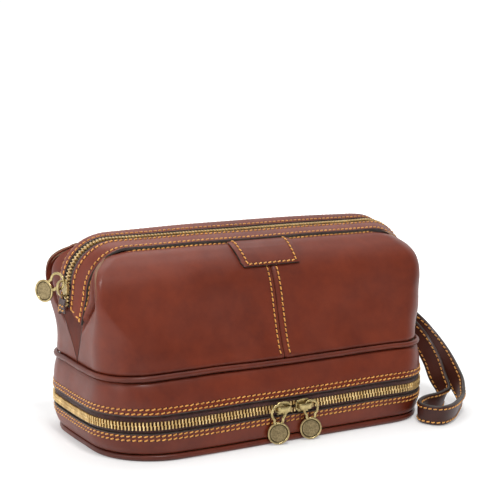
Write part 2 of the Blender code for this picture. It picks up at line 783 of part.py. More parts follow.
clear_scene()
PARTS = new_collection("shaving_kit_bag")
CUTTERS = new_collection("cutters")
CUTTERS.hide_render = True
lower_tray()
upper_lid()
pouch_panels()
gussets()
jaws()
label_tab()
bottom_zip_hardware()
top_zip_hardware()
wrist_strap()
pivots()
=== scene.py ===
"""The shaving kit bag's look: leather, zips, linings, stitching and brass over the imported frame.

Lengths are in millimetres and turned into metres where a mesh is made. +X is the bag's right seen
from the front, -Y is the front and +Z is up.
"""

import json
import math

import bpy
import numpy as np
from mathutils import Matrix, Vector, noise

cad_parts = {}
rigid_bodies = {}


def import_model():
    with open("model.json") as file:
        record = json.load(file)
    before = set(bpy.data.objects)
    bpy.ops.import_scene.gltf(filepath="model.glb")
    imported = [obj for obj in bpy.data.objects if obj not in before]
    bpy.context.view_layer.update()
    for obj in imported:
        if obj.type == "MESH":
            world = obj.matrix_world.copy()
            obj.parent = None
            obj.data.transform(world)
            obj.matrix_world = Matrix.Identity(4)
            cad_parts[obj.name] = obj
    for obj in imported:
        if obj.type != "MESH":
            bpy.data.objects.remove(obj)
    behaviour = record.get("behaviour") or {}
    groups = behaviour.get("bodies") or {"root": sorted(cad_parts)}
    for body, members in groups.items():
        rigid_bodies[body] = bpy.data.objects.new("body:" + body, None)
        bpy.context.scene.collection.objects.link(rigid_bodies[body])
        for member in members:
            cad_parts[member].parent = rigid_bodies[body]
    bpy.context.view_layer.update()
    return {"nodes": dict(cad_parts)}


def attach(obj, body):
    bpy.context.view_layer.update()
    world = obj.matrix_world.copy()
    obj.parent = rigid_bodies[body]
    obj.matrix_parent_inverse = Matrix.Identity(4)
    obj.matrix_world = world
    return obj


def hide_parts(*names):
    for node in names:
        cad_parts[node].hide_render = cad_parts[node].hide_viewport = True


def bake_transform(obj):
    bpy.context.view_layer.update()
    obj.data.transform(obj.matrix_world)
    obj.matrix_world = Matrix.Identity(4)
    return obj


MM = 0.001

CAMERA_LENS = 93.8
CAMERA_AIM = (1.3, 0.0, 127.3)
CAMERA_AZIMUTH = -29.4
CAMERA_ELEVATION = 8.42
CAMERA_DISTANCE = 923.0
FLOOR_REACH = 4.0

# Wall of the bag, bottom to top: half length, half depth, corner radius, height
BASE_PANEL = (129.4, 69.2, 44.5)
BASE_PIPING = (128.9, 68.6, 44.0, 2.4)
WALL = (
    (130.3, 69.0, 44.0, 4.8),
    (133.4, 70.0, 44.0, 12.0),
    (135.0, 70.0, 44.0, 25.5),
    (134.6, 69.0, 42.0, 31.2),
    (132.8, 65.4, 36.0, 42.0),
    (131.0, 61.4, 31.0, 52.0),
)
WAIST_PIPING = (131.0, 60.8, 30.0, 54.6)
POUCH_FOOT = (129.5, 59.0, 28.0, 57.1)
PIPING_RADIUS = 1.9
ZIP_Z = 24.7
SLIDER_Z = 25.5
ZIP_HALF_LENGTH = 135.0
ZIP_HALF_DEPTH = 70.0

# The jaws' arches: half length of the flat top, corner radius, top height, half distance of the feet
ZIP_ARCH = (105.8, 30.5, 139.9, 137.4)
RIDGE_ARCH = (99.0, 31.0, 135.4, 134.2)
FOOT_Z = 91.0
RIDGE_Y = 18.4
FLAT_Y = 4.4

# Pouch levels: half length, half depth, corner radius, height, and the end crease's depth and place
POUCH_LEVELS = (
    (128.8, 57.8, 28.0, 55.4, 0.0, 0.10),
    (130.8, 59.0, 29.0, 58.0, 0.0, 0.10),
    (130.9, 56.4, 27.0, 64.0, 0.0, 0.10),
    (131.0, 53.9, 25.0, 71.0, 0.0, 0.10),
    (131.2, 51.5, 21.0, 79.0, 0.0, 0.10),
    (131.6, 49.2, 14.0, 87.0, 2.5, 0.20),
    (132.2, 47.2, 8.0, 95.0, 8.0, 0.50),
    (132.6, 45.2, 5.0, 103.0, 12.0, 0.86),
    (132.4, 42.6, 4.0, 111.0, 13.0, 0.95),
    (131.0, 38.9, 4.5, 118.0, 10.0, 0.95),
    (127.0, 33.4, 6.0, 124.0, 4.0, 0.94),
    (118.5, 26.4, 7.0, 129.4, 0.5, 0.92),
)
SHOULDER_TOP = (99.0, 93.0, 133.0)
PANEL_DEPTH = 2.4
RIGHT_SHORTER = 1.2
RIGHT_ROUNDER = 8.0
RIGHT_CREASE = 0.55
RIGHT_DRAWN_IN = 5.5
REAR_LIFT = 7.2
REAR_SPREAD = 0.03
PANEL_Y = 18.6
SEAM = 0.5
LEATHER = 2.0
TUBE_BULGE = 1.6
FOOT_SLOPE = 9.5

SIDE_POINTS = 28
CORNER_POINTS = 14
FRONT_POINTS = 22

# Stitches and zip teeth
STITCH_PITCH = 3.9
STITCH_LENGTH = 3.3
STITCH_RADIUS = 0.50
STITCH_SLANT = 17.0
TOOTH_PITCH = 2.44
ZIP_PARTING = 1.25
ZIP_PARTING_REACH = 4.6
JAW_STITCH_PITCH = 3.6
STITCH_DIMPLE = 0.16

# Zip hardware
LOOP_RADIUS = 5.4
NECK_HALF = 3.3
DISC_RADIUS = 7.8
DISC_DROP = 14.2
BOTTOM_SLIDERS = ((-1, "left", 9.6), (1, "right", 7.2))
DISC_TURN = -17.0
LOOP_SAG = 3.0
LOOP_GAP = 4.0
TOP_SLIDER_ANGLE = 92.0
TOP_PULL_AWAY = (-0.40, 0.74, -0.54)

TAB_TOP_HALF = 25.0
TAB_LOW_HALF = 23.5
TAB_CENTRE_X = 0.5

STRAP_WIDTH = 14.0
STRAP_THICKNESS = 3.0
STRAP_ROUTE = (
    ((132.9, -4.0, 73.5), (0.05, -0.99, 0.10)),
    ((139.5, -8.0, 60.0), (0.35, -0.90, 0.20)),
    ((146.0, -18.5, 46.0), (0.60, -0.78, 0.20)),
    ((147.0, -32.0, 33.0), (0.60, -0.78, 0.20)),
    ((145.0, -43.0, 22.0), (0.50, -0.85, 0.20)),
    ((145.5, -51.0, 12.5), (0.15, -0.85, 0.50)),
    ((140.0, -56.5, 8.6), (-0.25, -0.45, 0.85)),
    ((131.0, -60.8, 8.0), (-0.05, -0.10, 1.0)),
    ((119.5, -62.5, 7.6), (0.0, 0.0, 1.0)),
    ((108.5, -69.5, 7.6), (0.0, 0.0, 1.0)),
    ((103.3, -80.0, 7.6), (0.0, 0.0, 1.0)),
    ((109.5, -91.0, 7.6), (0.0, -0.05, 1.0)),
    ((121.5, -89.5, 7.8), (-0.05, -0.20, 0.98)),
    ((136.0, -79.0, 8.0), (-0.15, -0.45, 0.87)),
    ((149.5, -66.5, 10.5), (-0.35, -0.75, 0.55)),
    ((155.4, -53.0, 18.5), (0.15, -0.95, 0.25)),
    ((155.6, -40.0, 30.5), (0.50, -0.85, 0.15)),
    ((154.4, -28.0, 41.0), (0.65, -0.75, 0.10)),
    ((151.0, -14.0, 52.5), (0.60, -0.80, 0.10)),
    ((144.5, -3.0, 64.0), (0.40, -0.90, 0.10)),
    ((137.2, -1.0, 76.0), (0.10, -0.98, 0.10)),
)


# ---------------------------------------------------------------- materials


class Nodes:
    """A small helper round one material's node tree."""

    def __init__(self, name):
        self.material = bpy.data.materials.new(name)
        self.material.use_nodes = True
        self.tree = self.material.node_tree
        self.shader = self.tree.nodes["Principled BSDF"]
        self.place = self.tree.nodes.new("ShaderNodeTexCoord").outputs["Object"]

    def add(self, kind, settings=(), **inputs):
        node = self.tree.nodes.new(kind)
        for key, value in dict(settings).items():
            setattr(node, key, value)
        for key, value in inputs.items():
            self.put(node.inputs[key.replace("_", " ")], value)
        return node

    def put(self, socket, value):
        if isinstance(value, bpy.types.NodeSocket):
            self.tree.links.new(value, socket)
        else:
            socket.default_value = value

    def noise(self, scale, detail=3.0, roughness=0.5, distortion=0.0):
        return self.add(
            "ShaderNodeTexNoise",
            Vector=self.place,
            Scale=scale,
            Detail=detail,
            Roughness=roughness,
            Distortion=distortion,
        ).outputs["Fac"]

    def ramp(self, value, *stops):
        node = self.add("ShaderNodeValToRGB", Fac=value)
        elements = node.color_ramp.elements
        while len(elements) < len(stops):
            elements.new(0.5)
        for element, (position, colour) in zip(elements, stops):
            element.position = position
            element.color = (*colour, 1.0) if len(colour) == 3 else colour
        return node.outputs["Color"]

    def grey(self, value, *stops):
        return self.ramp(value, *[(position, (level,) * 3) for position, level in stops])

    def mix(self, share, first, second, blend="MIX"):
        node = self.tree.nodes.new("ShaderNodeMix")
        node.data_type = "RGBA"
        node.blend_type = blend
        self.put(node.inputs["Factor"], share)
        for socket, value in ((node.inputs[6], first), (node.inputs[7], second)):
            self.put(socket, (*value, 1.0) if isinstance(value, tuple) else value)
        return node.outputs[2]

    def maths(self, operation, first, second):
        node = self.add("ShaderNodeMath", {"operation": operation})
        self.put(node.inputs[0], first)
        self.put(node.inputs[1], second)
        return node.outputs[0]

    def bump(self, height, strength, distance, below=None):
        node = self.add("ShaderNodeBump", Height=height, Strength=strength, Distance=distance)
        if below is not None:
            self.put(node.inputs["Normal"], below)
        return node.outputs["Normal"]

    def finish(self, colour, roughness, normal=None, **constants):
        self.put(self.shader.inputs["Base Color"], colour)
        self.put(self.shader.inputs["Roughness"], roughness)
        if normal is not None:
            self.put(self.shader.inputs["Normal"], normal)
        for key, value in constants.items():
            self.shader.inputs[key.replace("_", " ")].default_value = value
        return self.material


def leather(name, light, middle, dark, roughness=(0.36, 0.52), grain=0.5):
    """Smooth tanned leather: cloudy dye, fine pores, faint creases and an uneven polish."""
    n = Nodes(name)
    cloud = n.noise(11.0, 4.0, 0.55, 0.6)
    colour = n.ramp(cloud, (0.28, dark), (0.5, middle), (0.72, light))
    spots = n.noise(95.0, 5.0, 0.65)
    colour = n.mix(0.35, colour, n.ramp(spots, (0.3, dark), (0.62, light)))
    pores = n.add(
        "ShaderNodeTexVoronoi", {"feature": "DISTANCE_TO_EDGE"}, Vector=n.place, Scale=1150.0
    ).outputs["Distance"]
    pore_line = n.grey(pores, (0.0, 0.0), (0.12, 1.0))
    colour = n.mix(n.maths("MULTIPLY", n.maths("SUBTRACT", 1.0, pore_line), 0.25), colour, dark)
    polish = n.noise(38.0, 3.0, 0.6)
    rough = n.add(
        "ShaderNodeMapRange",
        Value=polish,
        From_Min=0.3,
        From_Max=0.7,
        To_Min=roughness[0],
        To_Max=roughness[1],
    ).outputs["Result"]
    normal = n.bump(n.noise(24.0, 3.0, 0.55), 0.22, 0.0012)
    normal = n.bump(n.noise(420.0, 4.0, 0.6), 0.20 * grain, 0.0003, normal)
    normal = n.bump(pore_line, 0.30 * grain, 0.00012, normal)
    return n.finish(
        colour, rough, normal, Coat_Weight=0.12, Coat_Roughness=0.28, Specular_IOR_Level=0.32
    )


def painted_edge(name):
    n = Nodes(name)
    colour = n.ramp(n.noise(260.0, 4.0), (0.3, (0.018, 0.012, 0.010)), (0.7, (0.050, 0.035, 0.028)))
    normal = n.bump(n.noise(700.0, 3.0), 0.25, 0.0002)
    return n.finish(colour, n.grey(n.noise(120.0), (0.3, 0.38), (0.7, 0.6)), normal)


def thread(name):
    """Waxed twisted thread; the twist runs across each stitch."""
    n = Nodes(name)
    wave = n.add(
        "ShaderNodeTexWave", {"bands_direction": "DIAGONAL"}, Vector=n.place, Scale=900.0
    ).outputs["Fac"]
    tint = n.ramp(n.noise(180.0, 2.0), (0.3, (0.60, 0.24, 0.03)), (0.7, (0.92, 0.44, 0.08)))
    colour = n.mix(n.maths("MULTIPLY", wave, 0.25), tint, (0.30, 0.10, 0.02))
    return n.finish(colour, 0.62, n.bump(wave, 0.5, 0.00015), Sheen_Weight=0.25)


# Painted shade: a near-black colour for the flat discs that stand in for the shade inside the needle
# holes.
def needle_hole_shade(name):
    n = Nodes(name)
    colour = n.ramp(n.noise(300.0), (0.3, (0.012, 0.006, 0.005)), (0.7, (0.03, 0.012, 0.008)))
    return n.finish(colour, 0.85)


def woven(name, light, dark, scale, roughness=0.85, sheen=0.3, strength=0.6):
    """A plain weave: two crossed sets of threads, with some slub, and painted shade that darkens the
    colour in the hollows between the threads.
    """
    n = Nodes(name)
    across, along, over = [
        n.add(
            "ShaderNodeTexWave", {"bands_direction": axis}, Vector=n.place, Scale=scale, Distortion=0.4
        ).outputs["Fac"]
        for axis in "ZXY"
    ]
    height = n.maths("ADD", across, n.maths("MULTIPLY", n.maths("ADD", along, over), 0.5))
    colour = n.ramp(n.noise(160.0, 4.0), (0.3, dark), (0.7, light))
    # Painted shade: the colour goes towards the dark tone where the weave's height is low, between the
    # threads.
    colour = n.mix(n.grey(height, (0.2, 0.45), (0.9, 0.0)), colour, dark)
    return n.finish(
        colour, roughness, n.bump(height, strength, 0.0002), Sheen_Weight=sheen, Sheen_Roughness=0.5
    )


def metal(name, light, dark, roughness, wear=0.5, grain=140.0):
    """Brass or steel: tarnish in the hollows of a noise, fine scratches and a soft grain."""
    n = Nodes(name)
    tarnish = n.noise(grain, 5.0, 0.65, 0.3)
    colour = n.ramp(tarnish, (0.5 - 0.25 * wear, dark), (0.5 + 0.12, light))
    scratch = n.add(
        "ShaderNodeTexNoise", Vector=n.place, Scale=2200.0, Detail=2.0, Distortion=2.0
    ).outputs["Fac"]
    rough = n.grey(tarnish, (0.3, roughness[1]), (0.65, roughness[0]))
    normal = n.bump(scratch, 0.10 + 0.15 * wear, 0.00008)
    return n.finish(colour, rough, normal, Metallic=1.0)


def board(name):
    n = Nodes(name)
    fibre = n.add("ShaderNodeTexNoise", Vector=n.place, Scale=500.0, Detail=5.0).outputs["Fac"]
    colour = n.ramp(fibre, (0.3, (0.20, 0.14, 0.09)), (0.7, (0.36, 0.27, 0.18)))
    return n.finish(colour, 0.9, n.bump(fibre, 0.4, 0.0002))


def floor_finish():
    """A white sweep that glows more the further it is from the object, so that its edge never shows."""
    n = Nodes("studio_floor")
    colour = n.ramp(n.noise(6.0, 2.0), (0.3, (0.66, 0.66, 0.66)), (0.7, (0.68, 0.68, 0.68)))
    reach = n.add("ShaderNodeVectorMath", {"operation": "LENGTH"})
    n.put(reach.inputs[0], n.place)
    glow = n.grey(reach.outputs["Value"], (0.14, 0.33), (0.75, 1.0))
    n.put(n.shader.inputs["Emission Color"], glow)
    return n.finish(colour, 0.8, Emission_Strength=0.9, Specular_IOR_Level=0.1)


# ---------------------------------------------------------------- meshes


def new_mesh(name, points, faces, materials, indices=None, uvs=None, sharp=38.0):
    """An object from points in millimetres; indices holds each face's material."""
    mesh = bpy.data.meshes.new(name)
    mesh.from_pydata((np.asarray(points, float) * MM).tolist(), [], [list(f) for f in faces])
    for item in materials:
        mesh.materials.append(item)
    if indices is not None:
        mesh.polygons.foreach_set("material_index", np.asarray(indices, np.int32))
    if uvs is not None:
        layer = mesh.uv_layers.new(name="UVMap")
        corners = np.zeros(len(mesh.loops), np.int32)
        mesh.loops.foreach_get("vertex_index", corners)
        layer.data.foreach_set("uv", np.asarray(uvs, np.float32)[corners].ravel())
    mesh.validate()
    mesh.shade_smooth()
    mesh.set_sharp_from_angle(angle=math.radians(sharp))
    item = bpy.data.objects.new(name, mesh)
    bpy.context.scene.collection.objects.link(item)
    return item


def lengths_along(points):
    steps = np.linalg.norm(np.diff(points, axis=0), axis=1)
    return np.concatenate([[0.0], np.cumsum(steps)])


def outward(points, faces):
    """The faces of a closed shape, all turned over if they point into it."""
    points = np.asarray(points, float)
    points = points - points.mean(axis=0)
    volume = sum(
        np.dot(points[f[0]], np.cross(points[f[k]], points[f[k + 1]]))
        for f in faces
        for k in range(1, len(f) - 1)
    )
    return faces if volume > 0 else [f[::-1] for f in faces]


def ring_faces(levels, around):
    """The quads between each ring of points and the next."""
    faces = []
    for i in range(levels - 1):
        for k in range(around):
            a, b = i * around + k, i * around + (k + 1) % around
            faces.append((a, b, b + around, a + around))
    return faces


def swept(name, rows, materials, strips=None, closed=False, sharp=38.0):
    """A solid from sections along a piece; strips gives the material of each side of the section."""
    rows = np.asarray(rows, float)
    count, around = rows.shape[:2]
    faces, indices = [], []
    for i in range(count if closed else count - 1):
        j = (i + 1) % count
        for k in range(around):
            m = (k + 1) % around
            faces.append((i * around + k, i * around + m, j * around + m, j * around + k))
            indices.append(strips[k] if strips else 0)
    if not closed:
        faces.append(tuple(range(around))[::-1])
        faces.append(tuple((count - 1) * around + k for k in range(around)))
        indices += [max(indices), max(indices)]
    points = rows.reshape(-1, 3)
    faces = outward(points, faces)
    run = lengths_along(rows.mean(axis=1))
    across = lengths_along(rows[0])
    uvs = np.stack(np.meshgrid(run, across, indexing="ij"), axis=-1).reshape(-1, 2) * 0.01
    return new_mesh(name, points, faces, materials, indices, uvs, sharp)


def sheet_between(name, outer, inner, materials, sharp=50.0):
    """A sheet with its outer face in the first material, inner in the second and rim in the third."""
    rows, columns = outer.shape[:2]
    size = rows * columns
    points = np.concatenate([outer.reshape(-1, 3), inner.reshape(-1, 3)])
    faces, indices = [], []
    for i in range(rows - 1):
        for j in range(columns - 1):
            a, b = i * columns + j, (i + 1) * columns + j
            faces.append((a, a + 1, b + 1, b))
            faces.append((size + a, size + b, size + b + 1, size + a + 1))
            indices += [0, 1]
    edge = [(0, j) for j in range(columns)] + [(i, columns - 1) for i in range(1, rows)]
    edge += [(rows - 1, j) for j in range(columns - 2, -1, -1)]
    edge += [(i, 0) for i in range(rows - 2, 0, -1)]
    for (a, b), (c, d) in zip(edge, edge[1:] + edge[:1]):
        p, q = a * columns + b, c * columns + d
        faces.append((q, p, size + p, size + q))
        indices.append(2)
    return new_mesh(name, points, outward(points, faces), materials, indices, sharp=sharp)


def place(item, body, slot, *nodes):
    """Puts a finished piece on its body, in place of its CAD nodes; the slot is not used."""
    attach(item, body)
    if nodes:
        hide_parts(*nodes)
    return item


def blended(item, a, b, start, end, slot, *nodes):
    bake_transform(item)
    if nodes:
        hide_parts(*nodes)
    return item


def unit(vectors):
    """Each row of vectors at length 1."""
    return vectors / np.maximum(np.linalg.norm(vectors, axis=-1), 1e-9)[..., None]


def read_at(wanted, run, values):
    """Points read off at the wanted distances along a run."""
    return np.column_stack([np.interp(wanted, run, values[:, k]) for k in range(3)])


def on_jaw(item, jaw, slot, *nodes):
    """Bakes a piece of the pouch in place and hides its CAD nodes."""
    return blended(item, "upper_bag", jaw, (0, 0, 62), (0, 0, 112), slot, *nodes)


def eased(share):
    share = np.clip(share, 0.0, 1.0)
    return share * share * (3.0 - 2.0 * share)


def softened(points, amount=0.55, size=46.0):
    """Points moved by smooth fields shared by all the leather, so that neighbours move together.

    The rear of the pouch stands higher than the front, and its shoulders reach further out. The
    right end is drawn in below the pouch.
    """
    flat = np.asarray(points, float).reshape(-1, 3)
    moved = np.array([p + amount * np.array(noise.noise_vector(Vector(p) / size)) for p in flat])
    rear = eased((flat[:, 1] - 2.6) / 12.5) * eased((flat[:, 2] - 62.0) / 62.0)
    moved[:, 2] += REAR_LIFT * rear * (1.0 - 0.35 * ((flat[:, 0] - 12.0) / 130.0) ** 2)
    moved[:, 0] *= 1.0 + REAR_SPREAD * rear * eased((np.abs(flat[:, 0]) - 92.0) / 26.0)
    drawn_in = eased((flat[:, 0] - 92.0) / 42.0) * eased((80.0 - flat[:, 2]) / 24.0)
    moved[:, 0] -= RIGHT_DRAWN_IN * drawn_in
    return moved.reshape(np.shape(points))


def smooth_route(points, steps):
    """A smooth curve through points, by Catmull-Rom."""
    points = [np.array(p, float) for p in points]
    points = [2 * points[0] - points[1]] + points + [2 * points[-1] - points[-2]]
    made = []
    for a, b, c, d in zip(points, points[1:], points[2:], points[3:]):
        for i in range(steps):
            t = i / steps
            made.append(
                0.5
                * (
                    2 * b
                    + (c - a) * t
                    + (2 * a - 5 * b + 4 * c - d) * t**2
                    + (3 * b - a - 3 * c + d) * t**3
                )
            )
    made.append(points[-2])
    return np.array(made)


WALL_FINE = smooth_route(WALL, 8)
POUCH_FINE = smooth_route(POUCH_LEVELS, 4)


def wall_at(height):
    columns = [np.interp(height, WALL_FINE[:, 3], WALL_FINE[:, k]) for k in range(3)]
    return tuple(float(c) for c in columns)


RING_STEPS = (10, 16, 8, 16, 36, 16, 8, 16, 10)
OPEN_RUN = slice(RING_STEPS[0], sum(RING_STEPS[:8]) + 1)


def ring(half_x, half_y, radius):
    """A rounded rectangle, clockwise from the middle of the back: points and outward directions."""
    x, y = half_x - radius, half_y - radius
    runs = (
        ("line", (0, half_y), (x, half_y), (0, 1)),
        ("turn", (x, y), 90),
        ("line", (half_x, y), (half_x, -y), (1, 0)),
        ("turn", (x, -y), 0),
        ("line", (x, -half_y), (-x, -half_y), (0, -1)),
        ("turn", (-x, -y), -90),
        ("line", (-half_x, -y), (-half_x, y), (-1, 0)),
        ("turn", (-x, y), 180),
        ("line", (-x, half_y), (0, half_y), (0, 1)),
    )
    points, outward = [], []
    for run, steps in zip(runs, RING_STEPS):
        for i in range(steps):
            if run[0] == "line":
                start, end = np.array(run[1], float), np.array(run[2], float)
                points.append(start + (end - start) * i / steps)
                outward.append(np.array(run[3], float))
            else:
                t = math.radians(run[2] - 90.0 * i / steps)
                away = np.array((math.cos(t), math.sin(t)))
                points.append(np.array(run[1]) + radius * away)
                outward.append(away)
    return np.array(points), np.array(outward)


def ring_at(level, height, inward=0.0):
    points, outward = ring(level[0] - inward, level[1] - inward, max(1.0, level[2] - inward))
    return np.column_stack([points, np.full(len(points), height)]), np.column_stack(
        [outward, np.zeros(len(points))]
    )


def wall_piece(name, section, materials, strips=None, open_run=False):
    """A wall right round the bag from a section of (height, depth under the face) pairs."""
    rows = np.stack([ring_at(wall_at(z), z, depth)[0] for z, depth in section], axis=1)
    if open_run:
        rows = rows[OPEN_RUN]
    return swept(name, softened(rows), materials, strips, closed=not open_run)


def piping(name, level, wobble=0.25):
    turns = np.linspace(0, 2 * math.pi, 12, endpoint=False)
    columns = []
    for t in turns:
        out, up = PIPING_RADIUS * math.cos(t), PIPING_RADIUS * math.sin(t)
        columns.append(ring_at(level, level[3] + up, -out)[0])
    rows = softened(np.stack(columns, axis=1))
    for i, row in enumerate(rows):
        row[:, 2] += wobble * noise.noise(Vector(row.mean(axis=0)) / 17.0)
        centre = row.mean(axis=0)
        row += (row - centre) * 0.06 * noise.noise(Vector(centre) / 6.0)
    return swept(name, rows, [LOOK["piping"]], closed=True, sharp=80.0)


# ---------------------------------------------------------------- stitches and teeth


def resampled(path, spacing, start=0.0):
    """Evenly spaced samples along a path of (point, normal) rows: points, tangents, normals."""
    points, normals = path
    run = lengths_along(points)
    count = max(2, int((run[-1] - start) / spacing))
    wanted = start + (np.arange(count) + 0.5) * (run[-1] - start) / count
    tangent = unit(read_at(wanted + 0.4, run, points) - read_at(wanted - 0.4, run, points))
    normal = read_at(wanted, run, normals)
    normal -= tangent * (normal * tangent).sum(axis=1)[:, None]
    return read_at(wanted, run, points), tangent, unit(normal)


def stitch_shape():
    """One stitch along local X, lying on the plane Z 0, then the two needle holes at its ends: flat discs
    with painted shade where the holes go into the leather.
    """
    points, faces, indices = [], [], []
    stations, sides = 7, 6
    for i in range(stations):
        share = 2.0 * i / (stations - 1) - 1.0
        radius = STITCH_RADIUS * math.sqrt(max(0.05, 1.0 - share**4))
        rise = 0.22 - 0.62 * share**6
        for k in range(sides):
            t = 2 * math.pi * k / sides
            points.append((share * STITCH_LENGTH / 2, radius * math.cos(t), rise + radius * math.sin(t)))
    for i in range(stations - 1):
        for k in range(sides):
            a, b = i * sides + k, i * sides + (k + 1) % sides
            faces.append((a, a + sides, b + sides, b))
            indices.append(0)
    faces += [tuple(range(sides)), tuple((stations - 1) * sides + k for k in range(sides))[::-1]]
    indices += [0, 0]
    # The needle holes: flat discs in the painted hole shade, not holes in the leather.
    for side in (-1, 1):
        base = len(points)
        for k in range(sides):
            t = 2 * math.pi * k / sides
            points.append(
                (side * (STITCH_LENGTH / 2 + 0.12) + 0.5 * math.cos(t), 0.5 * math.sin(t), 0.06)
            )
        faces.append(tuple(base + k for k in range(sides)))
        indices.append(1)
    return np.array(points), faces, indices


def tooth_shape():
    """One tooth: its root at local Y 2.75 and its rounded head at Y -0.35, standing up along Z."""
    outline = ((-0.62, 2.75), (0.62, 2.75), (0.60, 0.55), (0.78, 0.1), (0.45, -0.35), (-0.45, -0.35))
    outline += ((-0.78, 0.1), (-0.60, 0.55))
    points = []
    for height, inset in ((-1.5, 0.0), (-0.25, 0.0), (0.05, 0.28)):
        for x, y in outline:
            middle = 1.2
            points.append((x * (1 - inset), middle + (y - middle) * (1 - inset * 0.35), height))
    count = len(outline)
    faces = ring_faces(3, count)
    faces.append(tuple(range(count))[::-1])
    faces.append(tuple(2 * count + k for k in range(count)))
    return np.array(points), faces, [0] * len(faces)


def copies(shape, samples, slant=0.0, lift=0.0, flip=1.0):
    """Copies of a small shape at samples along a path, with local X along it and Z off the surface."""
    points, faces, indices = shape
    where, tangent, normal = samples
    side = np.cross(normal, tangent)
    turn = math.radians(slant)
    x_axis = tangent * math.cos(turn) + side * math.sin(turn)
    y_axis = side * math.cos(turn) - tangent * math.sin(turn)
    y_axis = y_axis * flip
    made = (
        where[:, None]
        + normal[:, None] * lift
        + points[None, :, 0:1] * x_axis[:, None]
        + points[None, :, 1:2] * y_axis[:, None]
        + points[None, :, 2:3] * normal[:, None]
    )
    size = len(points)
    if flip < 0:
        faces = [face[::-1] for face in faces]
    all_faces = [[size * i + k for k in face] for i in range(len(where)) for face in faces]
    return made.reshape(-1, 3), all_faces, indices * len(where)


def joined(name, groups, materials, sharp=45.0):
    points, faces, indices, base = [], [], [], 0
    for group_points, group_faces, group_indices in groups:
        points.append(group_points)
        faces += [[base + k for k in face] for face in group_faces]
        indices += group_indices
        base += len(group_points)
    return new_mesh(name, np.concatenate(points), faces, materials, indices, sharp=sharp)


def stitches(name, paths, spacing=STITCH_PITCH, slant=STITCH_SLANT):
    shape = stitch_shape()
    groups = [copies(shape, resampled(path, spacing), slant, 0.02) for path in paths]
    return joined(name, groups, [LOOK["thread"], LOOK["hole_shade"]], sharp=70.0)


def teeth_row(word, body, side, path, across, parting=0.0):
    """One side of a zip chain; across is the axis that leads over to the other side.

    Parting is how far the row stands off in the middle of the front, between two sliders.
    """
    start = 0.0 if side > 0 else TOOTH_PITCH / 2
    where, tangent, normal = resampled(path, TOOTH_PITCH, start)
    share = np.clip(1.0 - (where[:, 0] / ZIP_PARTING_REACH) ** 2, 0.0, 1.0)
    where[:, across] += side * parting * np.where(where[:, 1] < 0, share, 0.0)
    flip = 1.0 if (np.cross(normal[0], tangent[0])[across] > 0) == (side > 0) else -1.0
    group = copies(tooth_shape(), (where, tangent, normal), flip=flip)
    teeth = joined(word + "_teeth", [group], [LOOK["brass"]], sharp=30.0)
    place(teeth, body, "bright_brass", word + "_zip_teeth")


def wall_path(height, depth=0.0, open_run=False):
    points, outward = ring_at(wall_at(height), height, depth)
    points = softened(points)
    if open_run:
        return points[OPEN_RUN], outward[OPEN_RUN]
    return np.vstack([points, points[:1]]), np.vstack([outward, outward[:1]])


# ---------------------------------------------------------------- jaws


def arch(half_top, radius, top, foot_x, y):
    """Points up the left leg, over the top and down the right leg, with their outward directions."""
    centre_z = top - radius
    slope = max(0.0, min(1.0, (abs(y) - 6.0) / (RIDGE_Y - 6.0)))
    start = np.array((-foot_x, FOOT_Z + 4.0 - FOOT_SLOPE * slope))
    knee = np.array((-half_top - radius, centre_z))
    leg = knee - start
    away = np.array((-leg[1], leg[0])) / np.linalg.norm(leg)
    if away[0] > 0:
        away = -away
    points = [start + leg * i / 9 for i in range(9)]
    outward = [away] * 9
    for i in range(20):
        t = math.radians(180 - 90 * i / 20)
        points.append(np.array((-half_top + radius * math.cos(t), centre_z + radius * math.sin(t))))
        outward.append(np.array((math.cos(t), math.sin(t))))
    for i in range(16):
        points.append(np.array((-half_top * (1 - i / 16), top)))
        outward.append(np.array((0.0, 1.0)))
    left, left_out = np.array(points), np.array(outward)
    mirror = np.array((-1.0, 1.0))
    points = np.vstack([left, [[0.0, top]], left[::-1] * mirror])
    outward = np.vstack([left_out, [[0.0, 1.0]], left_out[::-1] * mirror])
    column = np.full(len(points), y)
    return (
        np.column_stack([points[:, 0], column, points[:, 1]]),
        np.column_stack([outward[:, 0], column * 0.0, outward[:, 1]]),
    )


def jaw_path(y, depth):
    share = max(0.0, abs(y) - FLAT_Y) / (RIDGE_Y - FLAT_Y)
    half_top, radius, top, foot_x = [a + (b - a) * share for a, b in zip(ZIP_ARCH, RIDGE_ARCH)]
    points, outward = arch(half_top, radius - depth, top - depth, foot_x - depth, y)
    if abs(y) > FLAT_Y:
        outward = unit(outward + np.array((0.0, 0.30 * np.sign(y), 0.0)))
    return softened(points, 0.45), outward


def jaw_piece(name, section, side, materials, strips=None, sharp=38.0):
    rows = np.stack([jaw_path(side * y, depth)[0] for y, depth in section], axis=1)
    return swept(name, rows, materials, strips, sharp=sharp)


# ---------------------------------------------------------------- pouch


def leg_x(height):
    half_top, radius, top, foot_x = RIDGE_ARCH
    radius, top, foot_x = radius - PANEL_DEPTH, top - PANEL_DEPTH, foot_x - PANEL_DEPTH
    centre_z = top - radius
    if height > centre_z:
        return half_top + math.sqrt(max(0.0, radius**2 - (height - centre_z) ** 2))
    if height > FOOT_Z:
        share = (height - FOOT_Z) / (centre_z - FOOT_Z)
        return foot_x + (half_top + radius - foot_x) * share
    share = (height - POUCH_FOOT[3]) / (FOOT_Z - POUCH_FOOT[3])
    return POUCH_FOOT[0] + (foot_x - POUCH_FOOT[0]) * share


def edge_y(height):
    share = (height - POUCH_FOOT[3]) / (FOOT_Z - POUCH_FOOT[3])
    return PANEL_Y * min(1.0, max(0.0, share))


